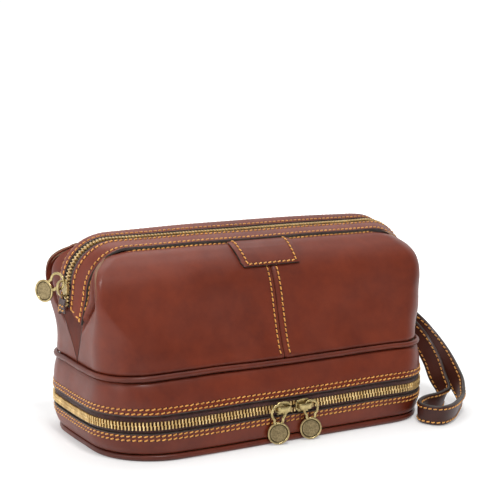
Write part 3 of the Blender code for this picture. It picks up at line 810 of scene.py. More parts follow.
def pouch_row(level, inset=0.0):
    """A level of the pouch, from its left edge round the corner to the middle of the front."""
    half_x, half_y, radius, height, crease, centre = level
    x, y = half_x - radius, half_y - radius
    half_x, half_y, radius = half_x - inset, half_y - inset, max(0.8, radius - inset)
    start = (leg_x(height) - inset, edge_y(height))
    tube = TUBE_BULGE * min(1.0, crease / 5.0)
    points = []
    for i in range(SIDE_POINTS):
        share = i / SIDE_POINTS
        width = 0.08 if share > centre else 0.15
        dent = crease * math.exp(-(((share - centre) / width) ** 2)) * min(1.0, share / 0.1)
        bulge = tube * math.sin(math.pi * min(1.0, share / max(centre - 0.1, 0.1)))
        points.append(
            (start[0] + (half_x - start[0]) * share - dent + bulge, start[1] + (y - start[1]) * share)
        )
    for i in range(CORNER_POINTS):
        t = math.radians(-90.0 * i / CORNER_POINTS)
        points.append((half_x - radius + radius * math.cos(t), half_y - radius - radius * math.sin(t)))
    x = half_x - radius
    points += [(x * (1 - i / FRONT_POINTS), half_y) for i in range(FRONT_POINTS + 1)]
    return [(-px, -py, height) for px, py in points]


def shoulder_row(y, height):
    outer, inner, _ = SHOULDER_TOP
    count = SIDE_POINTS + CORNER_POINTS
    xs = [outer + (inner - outer) * i / count for i in range(count)]
    xs += [inner * (1 - i / FRONT_POINTS) for i in range(FRONT_POINTS + 1)]
    return [(-x, -y, height) for x in xs]


def pouch_half(levels, inset):
    """The left half of the front face, from the waist up to the ridge, moved inward by inset."""
    rows = []
    for level in levels:
        half_x, half_y, radius, height = level[:4]
        drop = inset * 0.45 * eased((height - 110.0) / 16.0)
        made = np.array(pouch_row((half_x, half_y, radius, *level[3:]), inset))
        made[:, 2] -= drop
        rows.append(made)
    last, top = np.array(rows[-1]), np.array(shoulder_row(PANEL_Y, SHOULDER_TOP[2] - inset))
    for share in (0.3, 0.6, 0.85):
        curve = last + (top - last) * share
        curve[:, 2] += 0.7 * math.sin(math.pi * share)
        rows.append([tuple(p) for p in curve])
    rows.append([tuple(p) for p in top])
    return np.array(rows)


def pouch_grid(inset=0.0):
    """The whole front face; the right end is fuller and less creased than the left."""
    left = pouch_half(POUCH_FINE, inset)
    full = POUCH_FINE.copy()
    full[:, 0] -= RIGHT_SHORTER
    full[:, 2] += RIGHT_ROUNDER * eased((full[:, 3] - 76.0) / 20.0) * eased((136.0 - full[:, 3]) / 14.0)
    full[:, 4] *= RIGHT_CREASE
    right = pouch_half(full, inset)
    return np.concatenate([left, right[:, -2::-1] * np.array([-1.0, 1.0, 1.0])], axis=1)


def normals_of(grid):
    found = np.cross(np.gradient(grid, axis=1), np.gradient(grid, axis=0))
    return unit(found)


def narrowed(grid, left, right):
    made = grid.copy()
    for column, following, amount in ((0, 1, left), (-1, -2, right)):
        step = grid[:, following] - grid[:, column]
        length = np.linalg.norm(step, axis=1)[:, None]
        made[:, column] = grid[:, column] + step / np.maximum(length, 1e-6) * amount
    return made


def mirrored_y(grid):
    return grid[:, ::-1] * np.array([1.0, -1.0, 1.0])


def seamed(grid, normal):
    """The middle seam: a groove between the two panels, with a raised lip on either side."""
    x = grid[..., 0:1]
    below = np.clip((126.0 - grid[..., 2:3]) / 8.0, 0.0, 1.0)
    groove = -1.0 * np.exp(-((x / 0.9) ** 2)) + 0.45 * np.exp(-(((np.abs(x) - 3.4) / 2.4) ** 2))
    return grid + normal * groove * below


def refined_middle(grid):
    """The grid with extra columns close to the middle seam."""
    middle = grid.shape[1] // 2
    centre = grid[:, middle]
    step = grid[:, middle + 1] - centre
    length = np.linalg.norm(step, axis=1)[:, None]
    extra = [centre + step / length * d for d in (0.6, 1.5, 2.6, 3.8)]
    mirror = [c * np.array([-1.0, 1.0, 1.0]) for c in reversed(extra)]
    return np.concatenate(
        [
            grid[:, :middle],
            np.stack(mirror, axis=1),
            centre[:, None],
            np.stack(extra, axis=1),
            grid[:, middle + 1 :],
        ],
        axis=1,
    )


def gusset_grid():
    rows = []
    for share in np.linspace(0.02, 0.985, 22):
        height = POUCH_FOOT[3] + (FOOT_Z - POUCH_FOOT[3]) * share
        x = -leg_x(height)
        half = edge_y(height) - SEAM * 0.6
        fold = 13.0 * share
        row = []
        for turn in np.linspace(-1.0, 1.0, 21):
            depth = fold * (1 - abs(turn) ** 1.5) + 0.8 * math.sin(3.0 * math.pi * turn) * share
            row.append((x + depth * (1 - abs(turn) ** 6), half * turn, height))
        rows.append(row)
    return np.array(rows)


# ---------------------------------------------------------------- the pieces


def camera_and_light():
    data = bpy.data.cameras.new("camera")
    data.lens = CAMERA_LENS
    data.sensor_width = 36.0
    camera = bpy.data.objects.new("camera", data)
    azimuth, elevation = math.radians(CAMERA_AZIMUTH), math.radians(CAMERA_ELEVATION)
    back = Vector(
        (
            math.sin(azimuth) * math.cos(elevation),
            -math.cos(azimuth) * math.cos(elevation),
            math.sin(elevation),
        )
    )
    right = Vector((math.cos(azimuth), math.sin(azimuth), 0.0))
    up = back.cross(right)
    turn = Matrix((right, up, back)).transposed().to_4x4()
    eye = (Vector(CAMERA_AIM) + back * CAMERA_DISTANCE) * MM
    camera.matrix_world = Matrix.Translation(eye) @ turn
    bpy.context.scene.collection.objects.link(camera)
    bpy.context.scene.camera = camera
    lamps = (
        ("key_softbox", (-0.14, -0.55, 0.98), (-0.09, 0.0, 0.11), 0.22, 0.22, 6.0),
        ("left_softbox", (-1.00, -0.35, 0.55), (-0.05, 0.0, 0.07), 0.5, 0.5, 2.6),
        ("top_softbox", (0.15, 0.35, 1.05), (0.0, 0.0, 0.10), 0.8, 0.5, 2.4),
    )
    for name, where, aim, width, height, power in lamps:
        lamp = bpy.data.lights.new(name, "AREA")
        lamp.shape = "RECTANGLE"
        lamp.size, lamp.size_y = width, height
        lamp.energy = power
        item = bpy.data.objects.new(name, lamp)
        item.location = where
        item.rotation_euler = (Vector(where) - Vector(aim)).to_track_quat("Z", "Y").to_euler()
        bpy.context.scene.collection.objects.link(item)
    world = bpy.data.worlds.new("studio")
    world.use_nodes = True
    tree = world.node_tree
    direction = tree.nodes.new("ShaderNodeTexCoord").outputs["Generated"]
    parts = tree.nodes.new("ShaderNodeSeparateXYZ")
    tree.links.new(direction, parts.inputs[0])
    levels = tree.nodes.new("ShaderNodeMapRange")
    tree.links.new(parts.outputs["Y"], levels.inputs["Value"])
    for key, value in (("From Min", -0.5), ("From Max", 0.25), ("To Min", 0.22), ("To Max", 1.05)):
        levels.inputs[key].default_value = value
    tree.links.new(levels.outputs["Result"], tree.nodes["Background"].inputs["Strength"])
    tree.nodes["Background"].inputs["Color"].default_value = (1.0, 1.0, 1.0, 1.0)
    bpy.context.scene.world = world
    bpy.context.scene.view_settings.view_transform = "Standard"
    floor = bpy.data.meshes.new("floor")
    corners = [(x * FLOOR_REACH, y * FLOOR_REACH, 0.0) for x, y in ((-1, -1), (1, -1), (1, 1), (-1, 1))]
    floor.from_pydata(corners, [], [(0, 1, 2, 3)])
    floor.materials.append(floor_finish())
    item = bpy.data.objects.new("floor", floor)
    bpy.context.scene.collection.objects.link(item)


def strap_section(point, wide, face):
    """The strap's section: two crowned faces and two rounded, painted edges."""
    half, thick = STRAP_WIDTH / 2, STRAP_THICKNESS / 2
    lower = [(-half, -0.55), (-half + 0.5, -0.92), (-half + 2.0, -0.98), (0.0, -1.0)]
    lower += [(half - 2.0, -0.98), (half - 0.5, -0.92), (half, -0.55)]
    outline = lower + [(-a, -b) for a, b in lower]
    return [point + wide * a + face * (b * thick) for a, b in outline]


def wrist_strap():
    middle = smooth_route([place_at for place_at, _ in STRAP_ROUTE], 8)
    across = smooth_route([turn for _, turn in STRAP_ROUTE], 8)
    rows, wides, faces = [], [], []
    for i, (point, wide) in enumerate(zip(middle, across)):
        ahead = middle[min(i + 1, len(middle) - 1)] - middle[max(i - 1, 0)]
        ahead = ahead / np.linalg.norm(ahead)
        wide = wide - ahead * (wide @ ahead)
        wide = wide / np.linalg.norm(wide)
        face = np.cross(ahead, wide)
        rows.append(strap_section(point, wide, face))
        wides.append(wide)
        faces.append(face)
    strips = [1, 0, 0, 0, 0, 1, 1, 1, 0, 0, 0, 0, 1, 1]
    strap = swept("wrist_strap_leather", rows, [LOOK["strap"], LOOK["edge"]], strips, sharp=60.0)
    place(strap, "upper_bag", "dark_leather", "wrist_strap")
    wides, faces = np.array(wides), np.array(faces)
    paths = []
    for side in (-1, 1):
        for face_side in (-1, 1):
            offset = wides * side * (STRAP_WIDTH / 2 - 2.1)
            offset = offset + faces * face_side * STRAP_THICKNESS / 2 * 0.98
            paths.append((middle + offset, faces * face_side))
    seam = place(stitches("strap_stitches", paths, slant=8.0), "upper_bag", "dark_leather")


def base():
    levels = ((0.0, 1.2), (0.25, 0.35), (0.9, 0.0), (1.5, 0.0), (2.1, 0.4), (2.2, 1.4))
    edge = np.stack([ring_at(BASE_PANEL, z, inset)[0] for z, inset in levels], axis=1)
    count, around = edge.shape[:2]
    points = edge.reshape(-1, 3)
    faces = []
    for i in range(count):
        here, following = i * around, (i + 1) % count * around
        for k in range(around - 1):
            faces.append((here + k, here + k + 1, following + k + 1, following + k))
    indices = [0] * len(faces)
    faces.append(tuple(i * around for i in range(count))[::-1])
    faces.append(tuple(i * around + around - 1 for i in range(count)))
    indices += [0, 0]
    faces = [f[::-1] for f in faces]
    base_panel = new_mesh("base_leather", softened(points, 0.0), faces, [LOOK["base"]], indices)
    place(base_panel, "tray", "saddle_leather", "base_panel")
    place(piping("base_piping_leather", BASE_PIPING, 0.0), "tray", "saddle_leather", "base_piping")


def band(word, body, section, strips, heights):
    """A band of leather round the wall, with a row of stitches at each of the heights."""
    item = wall_piece(word + "_band_leather", section, [LOOK["leather"], LOOK["edge"]], strips)
    place(item, body, "saddle_leather", word + "_band")
    rows = [wall_path(height, STITCH_DIMPLE) for height in heights]
    place(stitches(word + "_band_stitches", rows), body, "saddle_leather")


def walls():
    edge = ZIP_Z - 5.2
    row_a, row_b = ZIP_Z - 6.9, ZIP_Z - 9.6
    section = [(4.9, 0.9), (5.2, 0.35), (6.0, 0.05), (8.5, 0.0), (12.0, 0.0), (row_b - 1.4, 0.0)]
    section += [(row_b, 0.16), ((row_a + row_b) / 2, 0.0), (row_a, 0.16), (edge - 0.8, 0.0)]
    section += [(edge - 0.25, 0.15), (edge, 0.5), (edge, 1.7), (edge - 0.3, 2.0), (12.0, 2.0), (4.9, 2.0)]
    strips = [0] * 9 + [1, 1, 1, 1, 0, 0, 0]
    band("lower", "tray", section, strips, (row_a, row_b))

    edge = ZIP_Z + 6.1
    row_a, row_b = ZIP_Z + 8.1, ZIP_Z + 10.8
    section = [(edge, 1.8), (edge, 0.5), (edge + 0.25, 0.15), (edge + 0.9, 0.0), (row_a, 0.16)]
    section += [((row_a + row_b) / 2, 0.0), (row_b, 0.16), (row_b + 1.5, 0.0), (41.0, -0.25)]
    section += [(46.0, -0.35), (49.5, -0.1), (51.2, 0.35), (52.0, 1.0), (52.0, 2.0), (46.0, 1.8)]
    section += [(38.0, 2.0)]
    strips = [1, 1, 1, 0, 0, 0, 0, 0, 0, 0, 0, 0, 0, 0, 0, 0]
    band("upper", "upper_bag", section, strips, (row_a, row_b))
    place(piping("waist_piping_leather", WAIST_PIPING), "upper_bag", "saddle_leather", "waist_piping")


def bottom_zip():
    for side, body, word in ((-1, "tray", "lower"), (1, "upper_bag", "upper")):
        pairs = ((0.45, 1.45), (4.4, 1.6), (5.6, 2.35), (9.5, 2.5), (9.5, 3.1), (5.6, 3.0))
        pairs += ((4.4, 2.25), (0.45, 2.1))
        section = [(ZIP_Z + side * far, depth) for far, depth in pairs]
        tape = wall_piece(word + "_tape", section, [LOOK["tape"]], open_run=True)
        place(tape, body, "zip_tape", word + "_zip_tape")
        path = wall_path(ZIP_Z + side * 0.05, -0.15, open_run=True)
        teeth_row(word, body, side, path, 2, ZIP_PARTING)


def jaws():
    for side, body, word in ((-1, "front_jaw", "front"), (1, "rear_jaw", "rear")):
        pairs = ((6.0, 1.7), (6.0, 0.45), (6.25, 0.12), (7.0, 0.0), (7.9, 0.14), (9.2, -0.1))
        pairs += ((12.0, -0.35), (15.0, -0.2), (16.5, 0.12), (17.6, 0.02), (18.15, 0.18), (18.4, 0.5))
        pairs += ((18.4, 1.7), (18.1, 2.0), (12.0, 1.7), (6.3, 2.0))
        strips = [1, 1, 0, 0, 0, 0, 0, 0, 0, 0, 1, 1, 1, 0, 0, 1]
        materials = [LOOK["leather"], LOOK["edge"]]
        facing = jaw_piece(word + "_facing_leather", pairs, side, materials, strips)
        place(facing, body, "saddle_leather", word + "_facing")
        tape = ((0.45, 1.45), (4.6, 1.6), (6.0, 2.3), (9.5, 2.4), (9.5, 3.0), (6.0, 2.9))
        tape += ((4.6, 2.2), (0.45, 2.1))
        item = jaw_piece(word + "_tape", tape, side, [LOOK["tape"]])
        place(item, body, "zip_tape", word + "_zip_tape")
        turns = np.linspace(0, 2 * math.pi, 12, endpoint=False)
        wire = [(12.5 + 1.5 * math.cos(t), 4.1 + 1.5 * math.sin(t)) for t in turns]
        item = jaw_piece(word + "_wire", wire, side, [LOOK["steel"]], sharp=80.0)
        place(item, body, "frame_steel", word + "_frame_wire")
        teeth_row(word, body, side, jaw_path(side * 0.05, -0.15), 1)
        rows = [jaw_path(side * 7.9, 0.12), jaw_path(side * 16.5, 0.12)]
        foot = np.array([jaw_path(side * y, -0.05)[0][1] for y in np.linspace(8.0, 16.5, 6)])
        for end in (1.0, -1.0):
            line = foot * np.array([end, 1.0, 1.0])
            rows.append((line, np.tile(np.array([-end, 0.0, 0.0]), (len(line), 1))))
        seam = stitches(word + "_facing_stitches", rows, JAW_STITCH_PITCH)
        place(seam, body, "saddle_leather")


def inset_path(grid, normal, distance):
    """A path along the panel's edge at the jaw: up the left leg, over the ridge, down the right leg."""
    points, directions = [], []
    middle = grid.shape[1] // 2
    legs = [i for i in range(len(grid)) if 93.0 < grid[i, 0, 2] < 129.5]
    for i in legs:
        run = lengths_along(grid[i, : SIDE_POINTS + 4])
        points.append([np.interp(distance, run, grid[i, : SIDE_POINTS + 4, k]) for k in range(3)])
        directions.append(normal[i, 2])
    for j in range(SIDE_POINTS + CORNER_POINTS - 2, middle + 1):
        column = grid[::-1, j][:8]
        run = lengths_along(column)
        points.append([np.interp(distance, run, column[:, k]) for k in range(3)])
        directions.append(normal[-2, j])
    points, directions = np.array(points), np.array(directions)
    flip = np.array([-1.0, 1.0, 1.0])
    points = np.vstack([points, points[-2::-1] * flip])
    directions = np.vstack([directions, directions[-2::-1] * flip])
    return points, directions


def pouch():
    grid = refined_middle(pouch_grid())
    normal = normals_of(grid)
    front = softened(seamed(grid, normal))
    front_in = softened(grid - normal * LEATHER)
    tuck = np.array([0.0, 2.6, -0.25])
    front = np.concatenate([front, front[-1:] + tuck])
    front_in = np.concatenate([front_in, front_in[-1:] + tuck * 0.9])
    middle = front.shape[1] // 2
    looks = [LOOK["leather"], LOOK["suede"], LOOK["edge"]]
    for name, part, left, right in (
        ("front_panel_left", slice(0, middle + 1), SEAM, 0.15),
        ("front_panel_right", slice(middle, front.shape[1]), 0.15, SEAM),
    ):
        item = sheet_between(
            name + "_leather",
            narrowed(front[:, part], left, right),
            narrowed(front_in[:, part], left, right),
            looks,
        )
        on_jaw(item, "front_jaw", "saddle_leather", name)
    plain = softened(mirrored_y(grid))
    plain_in = softened(mirrored_y(grid - normal * LEATHER))
    back_tuck = np.array([0.0, -2.6, -0.25])
    plain = np.concatenate([plain, plain[-1:] + back_tuck])
    plain_in = np.concatenate([plain_in, plain_in[-1:] + back_tuck * 0.9])
    item = sheet_between(
        "back_panel_leather", narrowed(plain, SEAM, SEAM), narrowed(plain_in, SEAM, SEAM), looks
    )
    on_jaw(item, "rear_jaw", "saddle_leather", "back_panel")

    points, directions = inset_path(grid, normal, 1.7)
    ridge = stitches("front_panel_stitches", [(softened(points), directions)], JAW_STITCH_PITCH)
    on_jaw(ridge, "front_jaw", "saddle_leather")
    flip = np.array([1.0, -1.0, 1.0])
    behind = [(softened(points * flip), directions * flip)]
    ridge = stitches("back_panel_stitches", behind, JAW_STITCH_PITCH)
    on_jaw(ridge, "rear_jaw", "saddle_leather")
    centre = grid.shape[1] // 2
    lifted = seamed(grid, normal)
    rows = [i for i in range(len(grid)) if 58.5 < grid[i, centre, 2] < 126.0]
    paths = []
    for j in (centre - 4, centre + 4):
        path = softened(lifted[rows, j])
        paths.append((path, normal[rows, j]))
    seam = stitches("middle_seam_stitches", paths, JAW_STITCH_PITCH, slant=10.0)
    on_jaw(seam, "front_jaw", "saddle_leather")

    for word, node in (("front", "pouch_lining_front"), ("rear", "pouch_lining_back")):
        layers = [pouch_grid(inset)[2:-2] for inset in (4.4, 5.1)]
        if word == "rear":
            layers = [mirrored_y(layer) for layer in layers]
        face, back = [narrowed(softened(layer), 2, 2) for layer in layers]
        item = sheet_between(word + "_lining", face, back, [LOOK["lining"]] * 3)
        on_jaw(item, word + "_jaw", "lining_fabric", node)

    outer = gusset_grid()
    inner = outer + np.array([1.6, 0.0, 0.0])
    fold = outer.shape[1] // 2
    for sign, name in ((1.0, "left_end_gusset"), (-1.0, "right_end_gusset")):
        flip = np.array([sign, 1.0, 1.0])
        for word, body, part, reach in (
            ("front", "front_jaw", slice(0, fold + 1), -32.0),
            ("rear", "rear_jaw", slice(fold, 2 * fold + 1), 32.0),
        ):
            item = sheet_between(
                name + "_" + word + "_leather",
                softened(outer[:, part] * flip),
                softened(inner[:, part] * flip),
                looks,
            )
            nodes = (name,) if word == "front" else ()
            blended(item, "upper_bag", body, (0, 0, 80), (0, reach, 80), "saddle_leather", *nodes)


def label_tab():
    grid = pouch_grid()
    normal = normals_of(grid)
    middle = grid.shape[1] // 2
    rows = [i for i in range(len(grid)) if grid[i, middle, 2] > 117.5]
    column = [grid[i, middle] + normal[i, middle] * 0.3 for i in reversed(rows)]
    away = [normal[i, middle] for i in reversed(rows)]
    start = np.array((0.0, -17.7, 133.35))
    column = [start] + column[1:]
    away = [np.array((0.0, -0.20, 0.55))] + away[1:]
    column = smooth_route(column, 3)
    away = unit(smooth_route(away, 3))
    top, low = [], []
    for i, (point, out) in enumerate(zip(column, away)):
        share = i / (len(column) - 1)
        half = TAB_TOP_HALF + (TAB_LOW_HALF - TAB_TOP_HALF) * share
        half -= 1.2 * max(0.0, share - 0.88) / 0.12
        high, under = [], []
        for turn in np.linspace(-1.0, 1.0, 25):
            x = TAB_CENTRE_X + half * turn
            crown = 0.55 + 1.35 * min(1.0, share * 2.5) - 0.45 * abs(turn) ** 14
            crown += 0.15 * math.cos(math.pi * turn / 2)
            high.append((x, *(point + out * crown)[1:]))
            under.append((x, *point[1:]))
        top.append(high)
        low.append(under)
    top, low = softened(np.array(top)), softened(np.array(low))
    looks = [LOOK["leather"], LOOK["suede"], LOOK["edge"]]
    item = sheet_between("plain_tab", top, low, looks)
    place(item, "front_jaw", "saddle_leather", "label_tab")
    count = len(top) - 2
    left = (top[1:count, 2] + away[1:count] * 0.02, away[1:count])
    right = (top[1:count, -3] + away[1:count] * 0.02, away[1:count])
    foot = (top[count - 1, 2:-2], np.tile(away[count - 1], (21, 1)))
    seam = stitches("tab_stitches", [left, right, foot], JAW_STITCH_PITCH)
    place(seam, "front_jaw", "saddle_leather")


def linings():
    for word, body, low, high in (("tray", "tray", 6.0, 19.6), ("lid", "upper_bag", 32.0, 51.4)):
        heights = np.linspace(low, high, 6)
        section = [(z, 3.6) for z in heights] + [(z, 4.3) for z in reversed(heights)]
        wall = wall_piece(word + "_lining_wall", section, [LOOK["lining"]])
        place(wall, body, "lining_fabric", word + "_lining")
    for name, level, height, body, node in (
        ("tray_lining_floor", wall_at(5.6), 4.8, "tray", ()),
        ("lid_lining_ceiling", wall_at(51.4), 51.0, "upper_bag", ()),
        ("pouch_lining_floor", POUCH_FOOT[:3], 54.9, "upper_bag", ("pouch_floor_lining",)),
    ):
        shares = (1.0, 0.995, 0.9, 0.7, 0.45, 0.2, 0.02)
        top, low = [], []
        for share in shares:
            inset = 3.8
            points = ring_at(level, height, inset)[0]
            scaled = points * np.array([share, share, 1.0])
            sag = np.array([0.25 * noise.noise(Vector(p) / 22.0) for p in scaled])
            closed = np.vstack([scaled, scaled[:1]])
            sag = np.append(sag, sag[0])
            top.append(closed + np.column_stack([sag * 0, sag * 0, sag + 0.7]))
            low.append(closed + np.column_stack([sag * 0, sag * 0, sag]))
        top, low = softened(np.array(top)), softened(np.array(low))
        item = sheet_between(name, top, low, [LOOK["lining"]] * 3)
        place(item, body, "lining_fabric", *node)


def rear_hinge():
    """The leather that joins tray and lid behind, where the zip stops."""
    level = wall_at(ZIP_Z)
    half = ZIP_HALF_LENGTH - level[2] - 4.0
    heights = np.linspace(14.0, 37.0, 24)
    outer = []
    for z in heights:
        y = wall_at(z)[1] - 2.45
        dip = 0.5 * math.exp(-(((z - ZIP_Z) / 1.6) ** 2))
        outer.append([(x, y - dip, z) for x in np.linspace(-half, half, 41)])
    outer = np.array(outer)
    inner = outer - np.array([0.0, 0.85, 0.0])
    looks = [LOOK["leather"], LOOK["suede"], LOOK["edge"]]
    item = sheet_between("rear_hinge_leather", softened(outer), softened(inner), looks)
    blended(
        item, "tray", "upper_bag", (0, 0, 22.5), (0, 0, 28.5), "saddle_leather", "rear_hinge_strip"
    )
    for side, word in ((-1, "left"), (1, "right")):
        x = side * (ZIP_HALF_LENGTH - 44.0 - 3.0)
        points, faces = [], []
        outline = ((-1.3, -2.6), (1.3, -2.6), (1.5, -2.2), (1.5, 2.2), (1.3, 2.6), (-1.3, 2.6))
        outline += ((-1.5, 2.2), (-1.5, -2.2))
        levels = ((-1.1, 1.0), (0.9, 1.0), (1.3, 0.8))
        for depth, size in levels:
            points += [(x + a * size, 69.0 + depth, ZIP_Z + b * size) for a, b in outline]
        for level_index in range(2):
            for k in range(8):
                a, b = level_index * 8 + k, level_index * 8 + (k + 1) % 8
                faces.append((a, a + 8, b + 8, b))
        faces += [tuple(range(8)), tuple(16 + k for k in range(8))[::-1]]
        stop = new_mesh("bottom_stop_" + word, points, faces, [LOOK["brass"]], sharp=25.0)
        place(stop, "tray", "bright_brass", "bottom_zip_stop_" + word)


def frame_matrix(x_axis, y_axis, z_axis, origin):
    made = Matrix((Vector(x_axis), Vector(y_axis), Vector(z_axis))).transposed().to_4x4()
    made.translation = Vector(origin) * MM
    return made


def prism(outline, low, high, taper=0.9, lip=0.25):
    """Points and faces of a plate with softened upper and lower rims."""
    points = []
    levels = ((low, taper), (low + lip, 1.0), (high - lip, 1.0), (high, taper))
    for z, size in levels:
        points += [(x * size, y * size, z) for x, y in outline]
    count = len(outline)
    faces = ring_faces(len(levels), count)
    faces.append(list(range(count))[::-1])
    faces.append([3 * count + k for k in range(count)])
    return points, faces


def slider(name, place_at, body, node, pointed):
    """A zip slider: crown plate and back plate either side of the chain, and a bridge for the pull."""
    plate = [(-6.8 * pointed, 0.0), (-5.6 * pointed, 2.2), (-3.2 * pointed, 3.9), (0.6 * pointed, 4.55)]
    plate += [(4.6 * pointed, 3.8), (6.2 * pointed, 2.4)]
    plate += [(x, -y) for x, y in plate[:0:-1]]
    groups = [prism(plate, 1.0, 2.0, 0.94), prism(plate, -5.5, -4.6, 0.94)]
    web = [(-1.7, -0.2), (1.7, -0.2), (1.7, 0.2), (-1.7, 0.2)]
    groups.append(prism(web, -5.0, 1.4, 1.0))
    rail = [(-5.0, -0.45), (5.0, -0.45), (5.0, 0.0), (-5.0, 0.0)]
    for side in (-1, 1):
        lipped = [(x * 0.8, side * (4.15 + y * side)) for x, y in rail]
        groups.append(prism(lipped, 0.2, 1.3, 1.0))
    line = [(-5.4, 1.6), (-5.1, 3.6), (-4.4, 5.2), (-3.1, 6.2), (-1.0, 6.65), (1.2, 6.6), (3.4, 6.1)]
    line += [(4.6, 5.0), (5.1, 3.4), (5.2, 1.6)]
    bar = ((-1, -0.45), (-0.6, -0.6), (0.6, -0.6), (1, -0.45), (1, 0.3), (0.55, 0.6))
    bar += ((-0.55, 0.6), (-1, 0.3))
    points = []
    for i, (x, z) in enumerate(line):
        before, after = line[max(i - 1, 0)], line[min(i + 1, len(line) - 1)]
        dx, dz = after[0] - before[0], after[1] - before[1]
        size = math.hypot(dx, dz)
        nx, nz = -dz / size, dx / size
        wide = 1.5 + 0.5 * math.sin(math.pi * i / (len(line) - 1))
        for a, b in bar:
            points.append((pointed * (x + nx * b), a * wide, z + nz * b))
    faces = ring_faces(len(line), len(bar))
    faces += [list(range(8))[::-1], [(len(line) - 1) * 8 + k for k in range(8)]]
    groups.append((points, faces))
    solids = [(points, outward(points, faces), [0] * len(faces)) for points, faces in groups]
    item = joined(name, solids, [LOOK["antique"]], sharp=32.0)
    item.matrix_world = place_at
    place(item, body, "antique_brass", node)


def pull(name, place_at, body, node, turned=0.0):
    """A pull: a wire loop that pinches to a neck, and a round disc with a raised rim."""
    disc_top = -DISC_DROP + DISC_RADIUS - 1.0
    line = [(-NECK_HALF + 0.9, disc_top - 0.4), (-NECK_HALF + 0.2, disc_top + 0.9)]
    line += [(-NECK_HALF - 0.2, disc_top + 1.9)]
    for turn in range(236, -57, -12):
        t = math.radians(turn)
        line.append((LOOP_RADIUS * math.cos(t), LOOP_RADIUS * math.sin(t)))
    line += [(NECK_HALF + 0.2, disc_top + 1.9), (NECK_HALF - 0.2, disc_top + 0.9)]
    line += [(NECK_HALF - 0.9, disc_top - 0.4)]
    route = smooth_route([(x, y, 0.0) for x, y in line], 3)
    rows = []
    for i, point in enumerate(route):
        ahead = route[min(i + 1, len(route) - 1)] - route[max(i - 1, 0)]
        ahead /= np.linalg.norm(ahead)
        side = np.array((-ahead[1], ahead[0], 0.0))
        turns = np.linspace(0, 2 * math.pi, 10, endpoint=False)
        lift = np.array((0.0, 0.0, 0.75))
        rows.append([point + side * 0.95 * math.cos(t) + lift * math.sin(t) for t in turns])
    loop = swept(name + "_loop", rows, [LOOK["antique"]], sharp=70.0)
    profile = [(0.0, 0.46), (2.5, 0.48), (5.0, 0.46), (5.9, 0.42), (6.1, 0.22), (6.4, 0.24), (6.6, 0.66)]
    profile += [(7.1, 0.80), (7.5, 0.70), (7.75, 0.42), (DISC_RADIUS, 0.0)]
    profile += [(r, -z) for r, z in profile[-2::-1]]
    points, faces, indices = [], [], []
    turns = 48
    for r, z in profile:
        for k in range(turns):
            t = 2 * math.pi * k / turns
            points.append((max(r, 0.01) * math.cos(t), -DISC_DROP + max(r, 0.01) * math.sin(t), z))
    for i in range(len(profile) - 1):
        reach = max(profile[i][0], profile[i + 1][0])
        look = 1 if reach < 6.0 else 2 if reach < 6.5 else 0
        for k in range(turns):
            a, b = i * turns + k, i * turns + (k + 1) % turns
            faces.append((a, a + turns, b + turns, b))
            indices.append(look)
    looks = [LOOK["rim"], LOOK["field"], LOOK["groove"]]
    disc = new_mesh(name + "_disc", points, faces, looks, indices, sharp=50.0)
    loop.matrix_world = place_at
    disc.matrix_world = place_at @ Matrix.Rotation(math.radians(turned), 4, "Y")
    place(disc, body, "antique_brass", node)
    place(loop, body, "antique_brass")


def hardware():
    for side, word, distance in BOTTOM_SLIDERS:
        x = side * distance
        turn = ((1, 0, 0), (0, 0, 1), (0, -1, 0))
        slider(
            "slider_" + word,
            frame_matrix(*turn, (x, -ZIP_HALF_DEPTH, ZIP_Z + 0.3)),
            word + "_slider",
            "bottom_" + word + "_slider_body",
            -side,
        )
        shift = side * math.sqrt(LOOP_RADIUS**2 - LOOP_SAG**2)
        pull(
            "pull_" + word,
            frame_matrix(*turn, (x + shift, -ZIP_HALF_DEPTH - LOOP_GAP, SLIDER_Z - LOOP_SAG)),
            word + "_slider_pull",
            "bottom_" + word + "_pull",
            DISC_TURN,
        )
    half_top, radius, top = ZIP_ARCH[:3]
    turn = math.radians(TOP_SLIDER_ANGLE)
    out = Vector((-math.sin(turn), 0.0, math.cos(turn)))
    along = Vector((math.cos(turn), 0.0, math.sin(turn)))
    centre = Vector((-half_top, 0.0, top - radius)) + out * radius
    place_at = frame_matrix(along, out.cross(along), out, centre)
    slider("slider_top", place_at, "top_slider", "top_slider_body", 1)
    grip = centre + out * (LOOP_GAP + 0.2)
    away = Vector(TOP_PULL_AWAY).normalized()
    lift = Vector((0.0, 0.0, 1.0))
    lift = (lift - away * lift.dot(away)).normalized()
    origin = grip + lift * LOOP_RADIUS
    pull("pull_top", frame_matrix(lift, -away, lift.cross(-away), origin), "top_slider_pull", "top_pull")
    for side, word in ((-1, "left"), (1, "right")):
        outer = []
        for z in np.linspace(91.3, 100.7, 8):
            bow = 0.5 * math.sin(math.pi * (z - 91.3) / 9.4)
            outer.append([(side * (139.9 + bow), y, z) for y in np.linspace(-5.1, 5.1, 9)])
        outer = np.array(outer)
        inner = outer - np.array([side * 0.9, 0.0, 0.0])
        tail = sheet_between("zip_tail_" + word, outer, inner, [LOOK["tape"]] * 3)
        place(tail, "upper_bag", "zip_tape", "top_zip_tail_" + word)
        rows = []
        for z in (93.2, 96.2):
            line = np.array([(side * 140.45, y, z) for y in np.linspace(-4.6, 4.6, 5)])
            rows.append((line, np.tile(np.array([side * 1.0, 0.0, 0.0]), (5, 1))))
        place(stitches("zip_tail_stitches_" + word, rows, 3.2), "upper_bag", "zip_tape")


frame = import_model()
for start_item in [o for o in bpy.data.objects if o.name in ("Cube", "Light", "Camera")]:
    bpy.data.objects.remove(start_item, do_unlink=True)

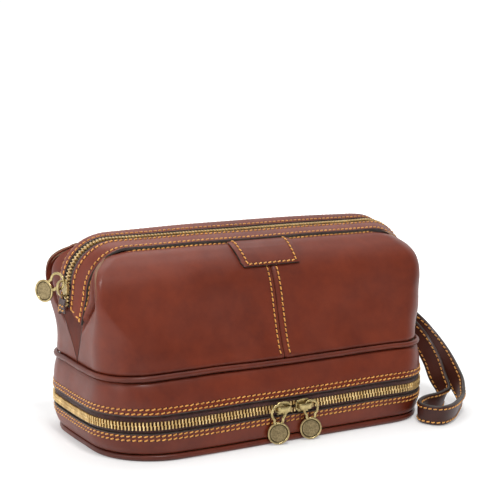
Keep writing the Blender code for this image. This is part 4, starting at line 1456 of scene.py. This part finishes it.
LOOK = {
    "leather": leather(
        "saddle_leather", (0.200, 0.031, 0.009), (0.148, 0.021, 0.0065), (0.092, 0.013, 0.005)
    ),
    "piping": leather("piping_leather", (0.165, 0.027, 0.009), (0.12, 0.018, 0.007), (0.07, 0.011, 0.005)),
    "base": leather(
        "base_leather", (0.10, 0.024, 0.014), (0.07, 0.017, 0.010), (0.04, 0.010, 0.007), (0.45, 0.6)
    ),
    "strap": leather("strap_leather", (0.075, 0.018, 0.010), (0.05, 0.012, 0.007), (0.028, 0.007, 0.005)),
    "suede": leather(
        "flesh_side", (0.30, 0.17, 0.10), (0.24, 0.13, 0.08), (0.17, 0.09, 0.055), (0.85, 0.95), 1.5
    ),
    "edge": painted_edge("painted_edge"),
    "thread": thread("waxed_thread"),
    "hole_shade": needle_hole_shade("needle_hole_shade"),
    "tape": woven("zip_tape_weave", (0.075, 0.015, 0.011), (0.030, 0.007, 0.005), 700.0),
    "lining": woven("lining_weave", (0.30, 0.22, 0.14), (0.17, 0.12, 0.075), 420.0, 0.9, 0.2),
    "brass": metal("bright_brass", (0.88, 0.66, 0.32), (0.58, 0.39, 0.16), (0.30, 0.46), 0.35),
    "antique": metal("antique_brass", (0.66, 0.53, 0.25), (0.26, 0.195, 0.085), (0.26, 0.48), 0.7),
    "rim": metal("antique_rim", (0.62, 0.49, 0.24), (0.30, 0.225, 0.11), (0.24, 0.42), 0.6),
    "field": metal("antique_field", (0.36, 0.28, 0.15), (0.13, 0.10, 0.05), (0.42, 0.62), 1.0, 900.0),
    "groove": metal("tarnished_groove", (0.07, 0.055, 0.03), (0.03, 0.024, 0.014), (0.5, 0.7), 1.0),
    "steel": metal("spring_steel", (0.62, 0.62, 0.63), (0.36, 0.35, 0.34), (0.28, 0.45), 0.4),
    "board": board("stiffening_board"),
}

camera_and_light()
wrist_strap()
base()
walls()
bottom_zip()
jaws()
pouch()
label_tab()
linings()
rear_hinge()
hardware()
for board_node in ("base_board", "divider_board"):
    frame["nodes"][board_node].data.materials.clear()
    frame["nodes"][board_node].data.materials.append(LOOK["board"])
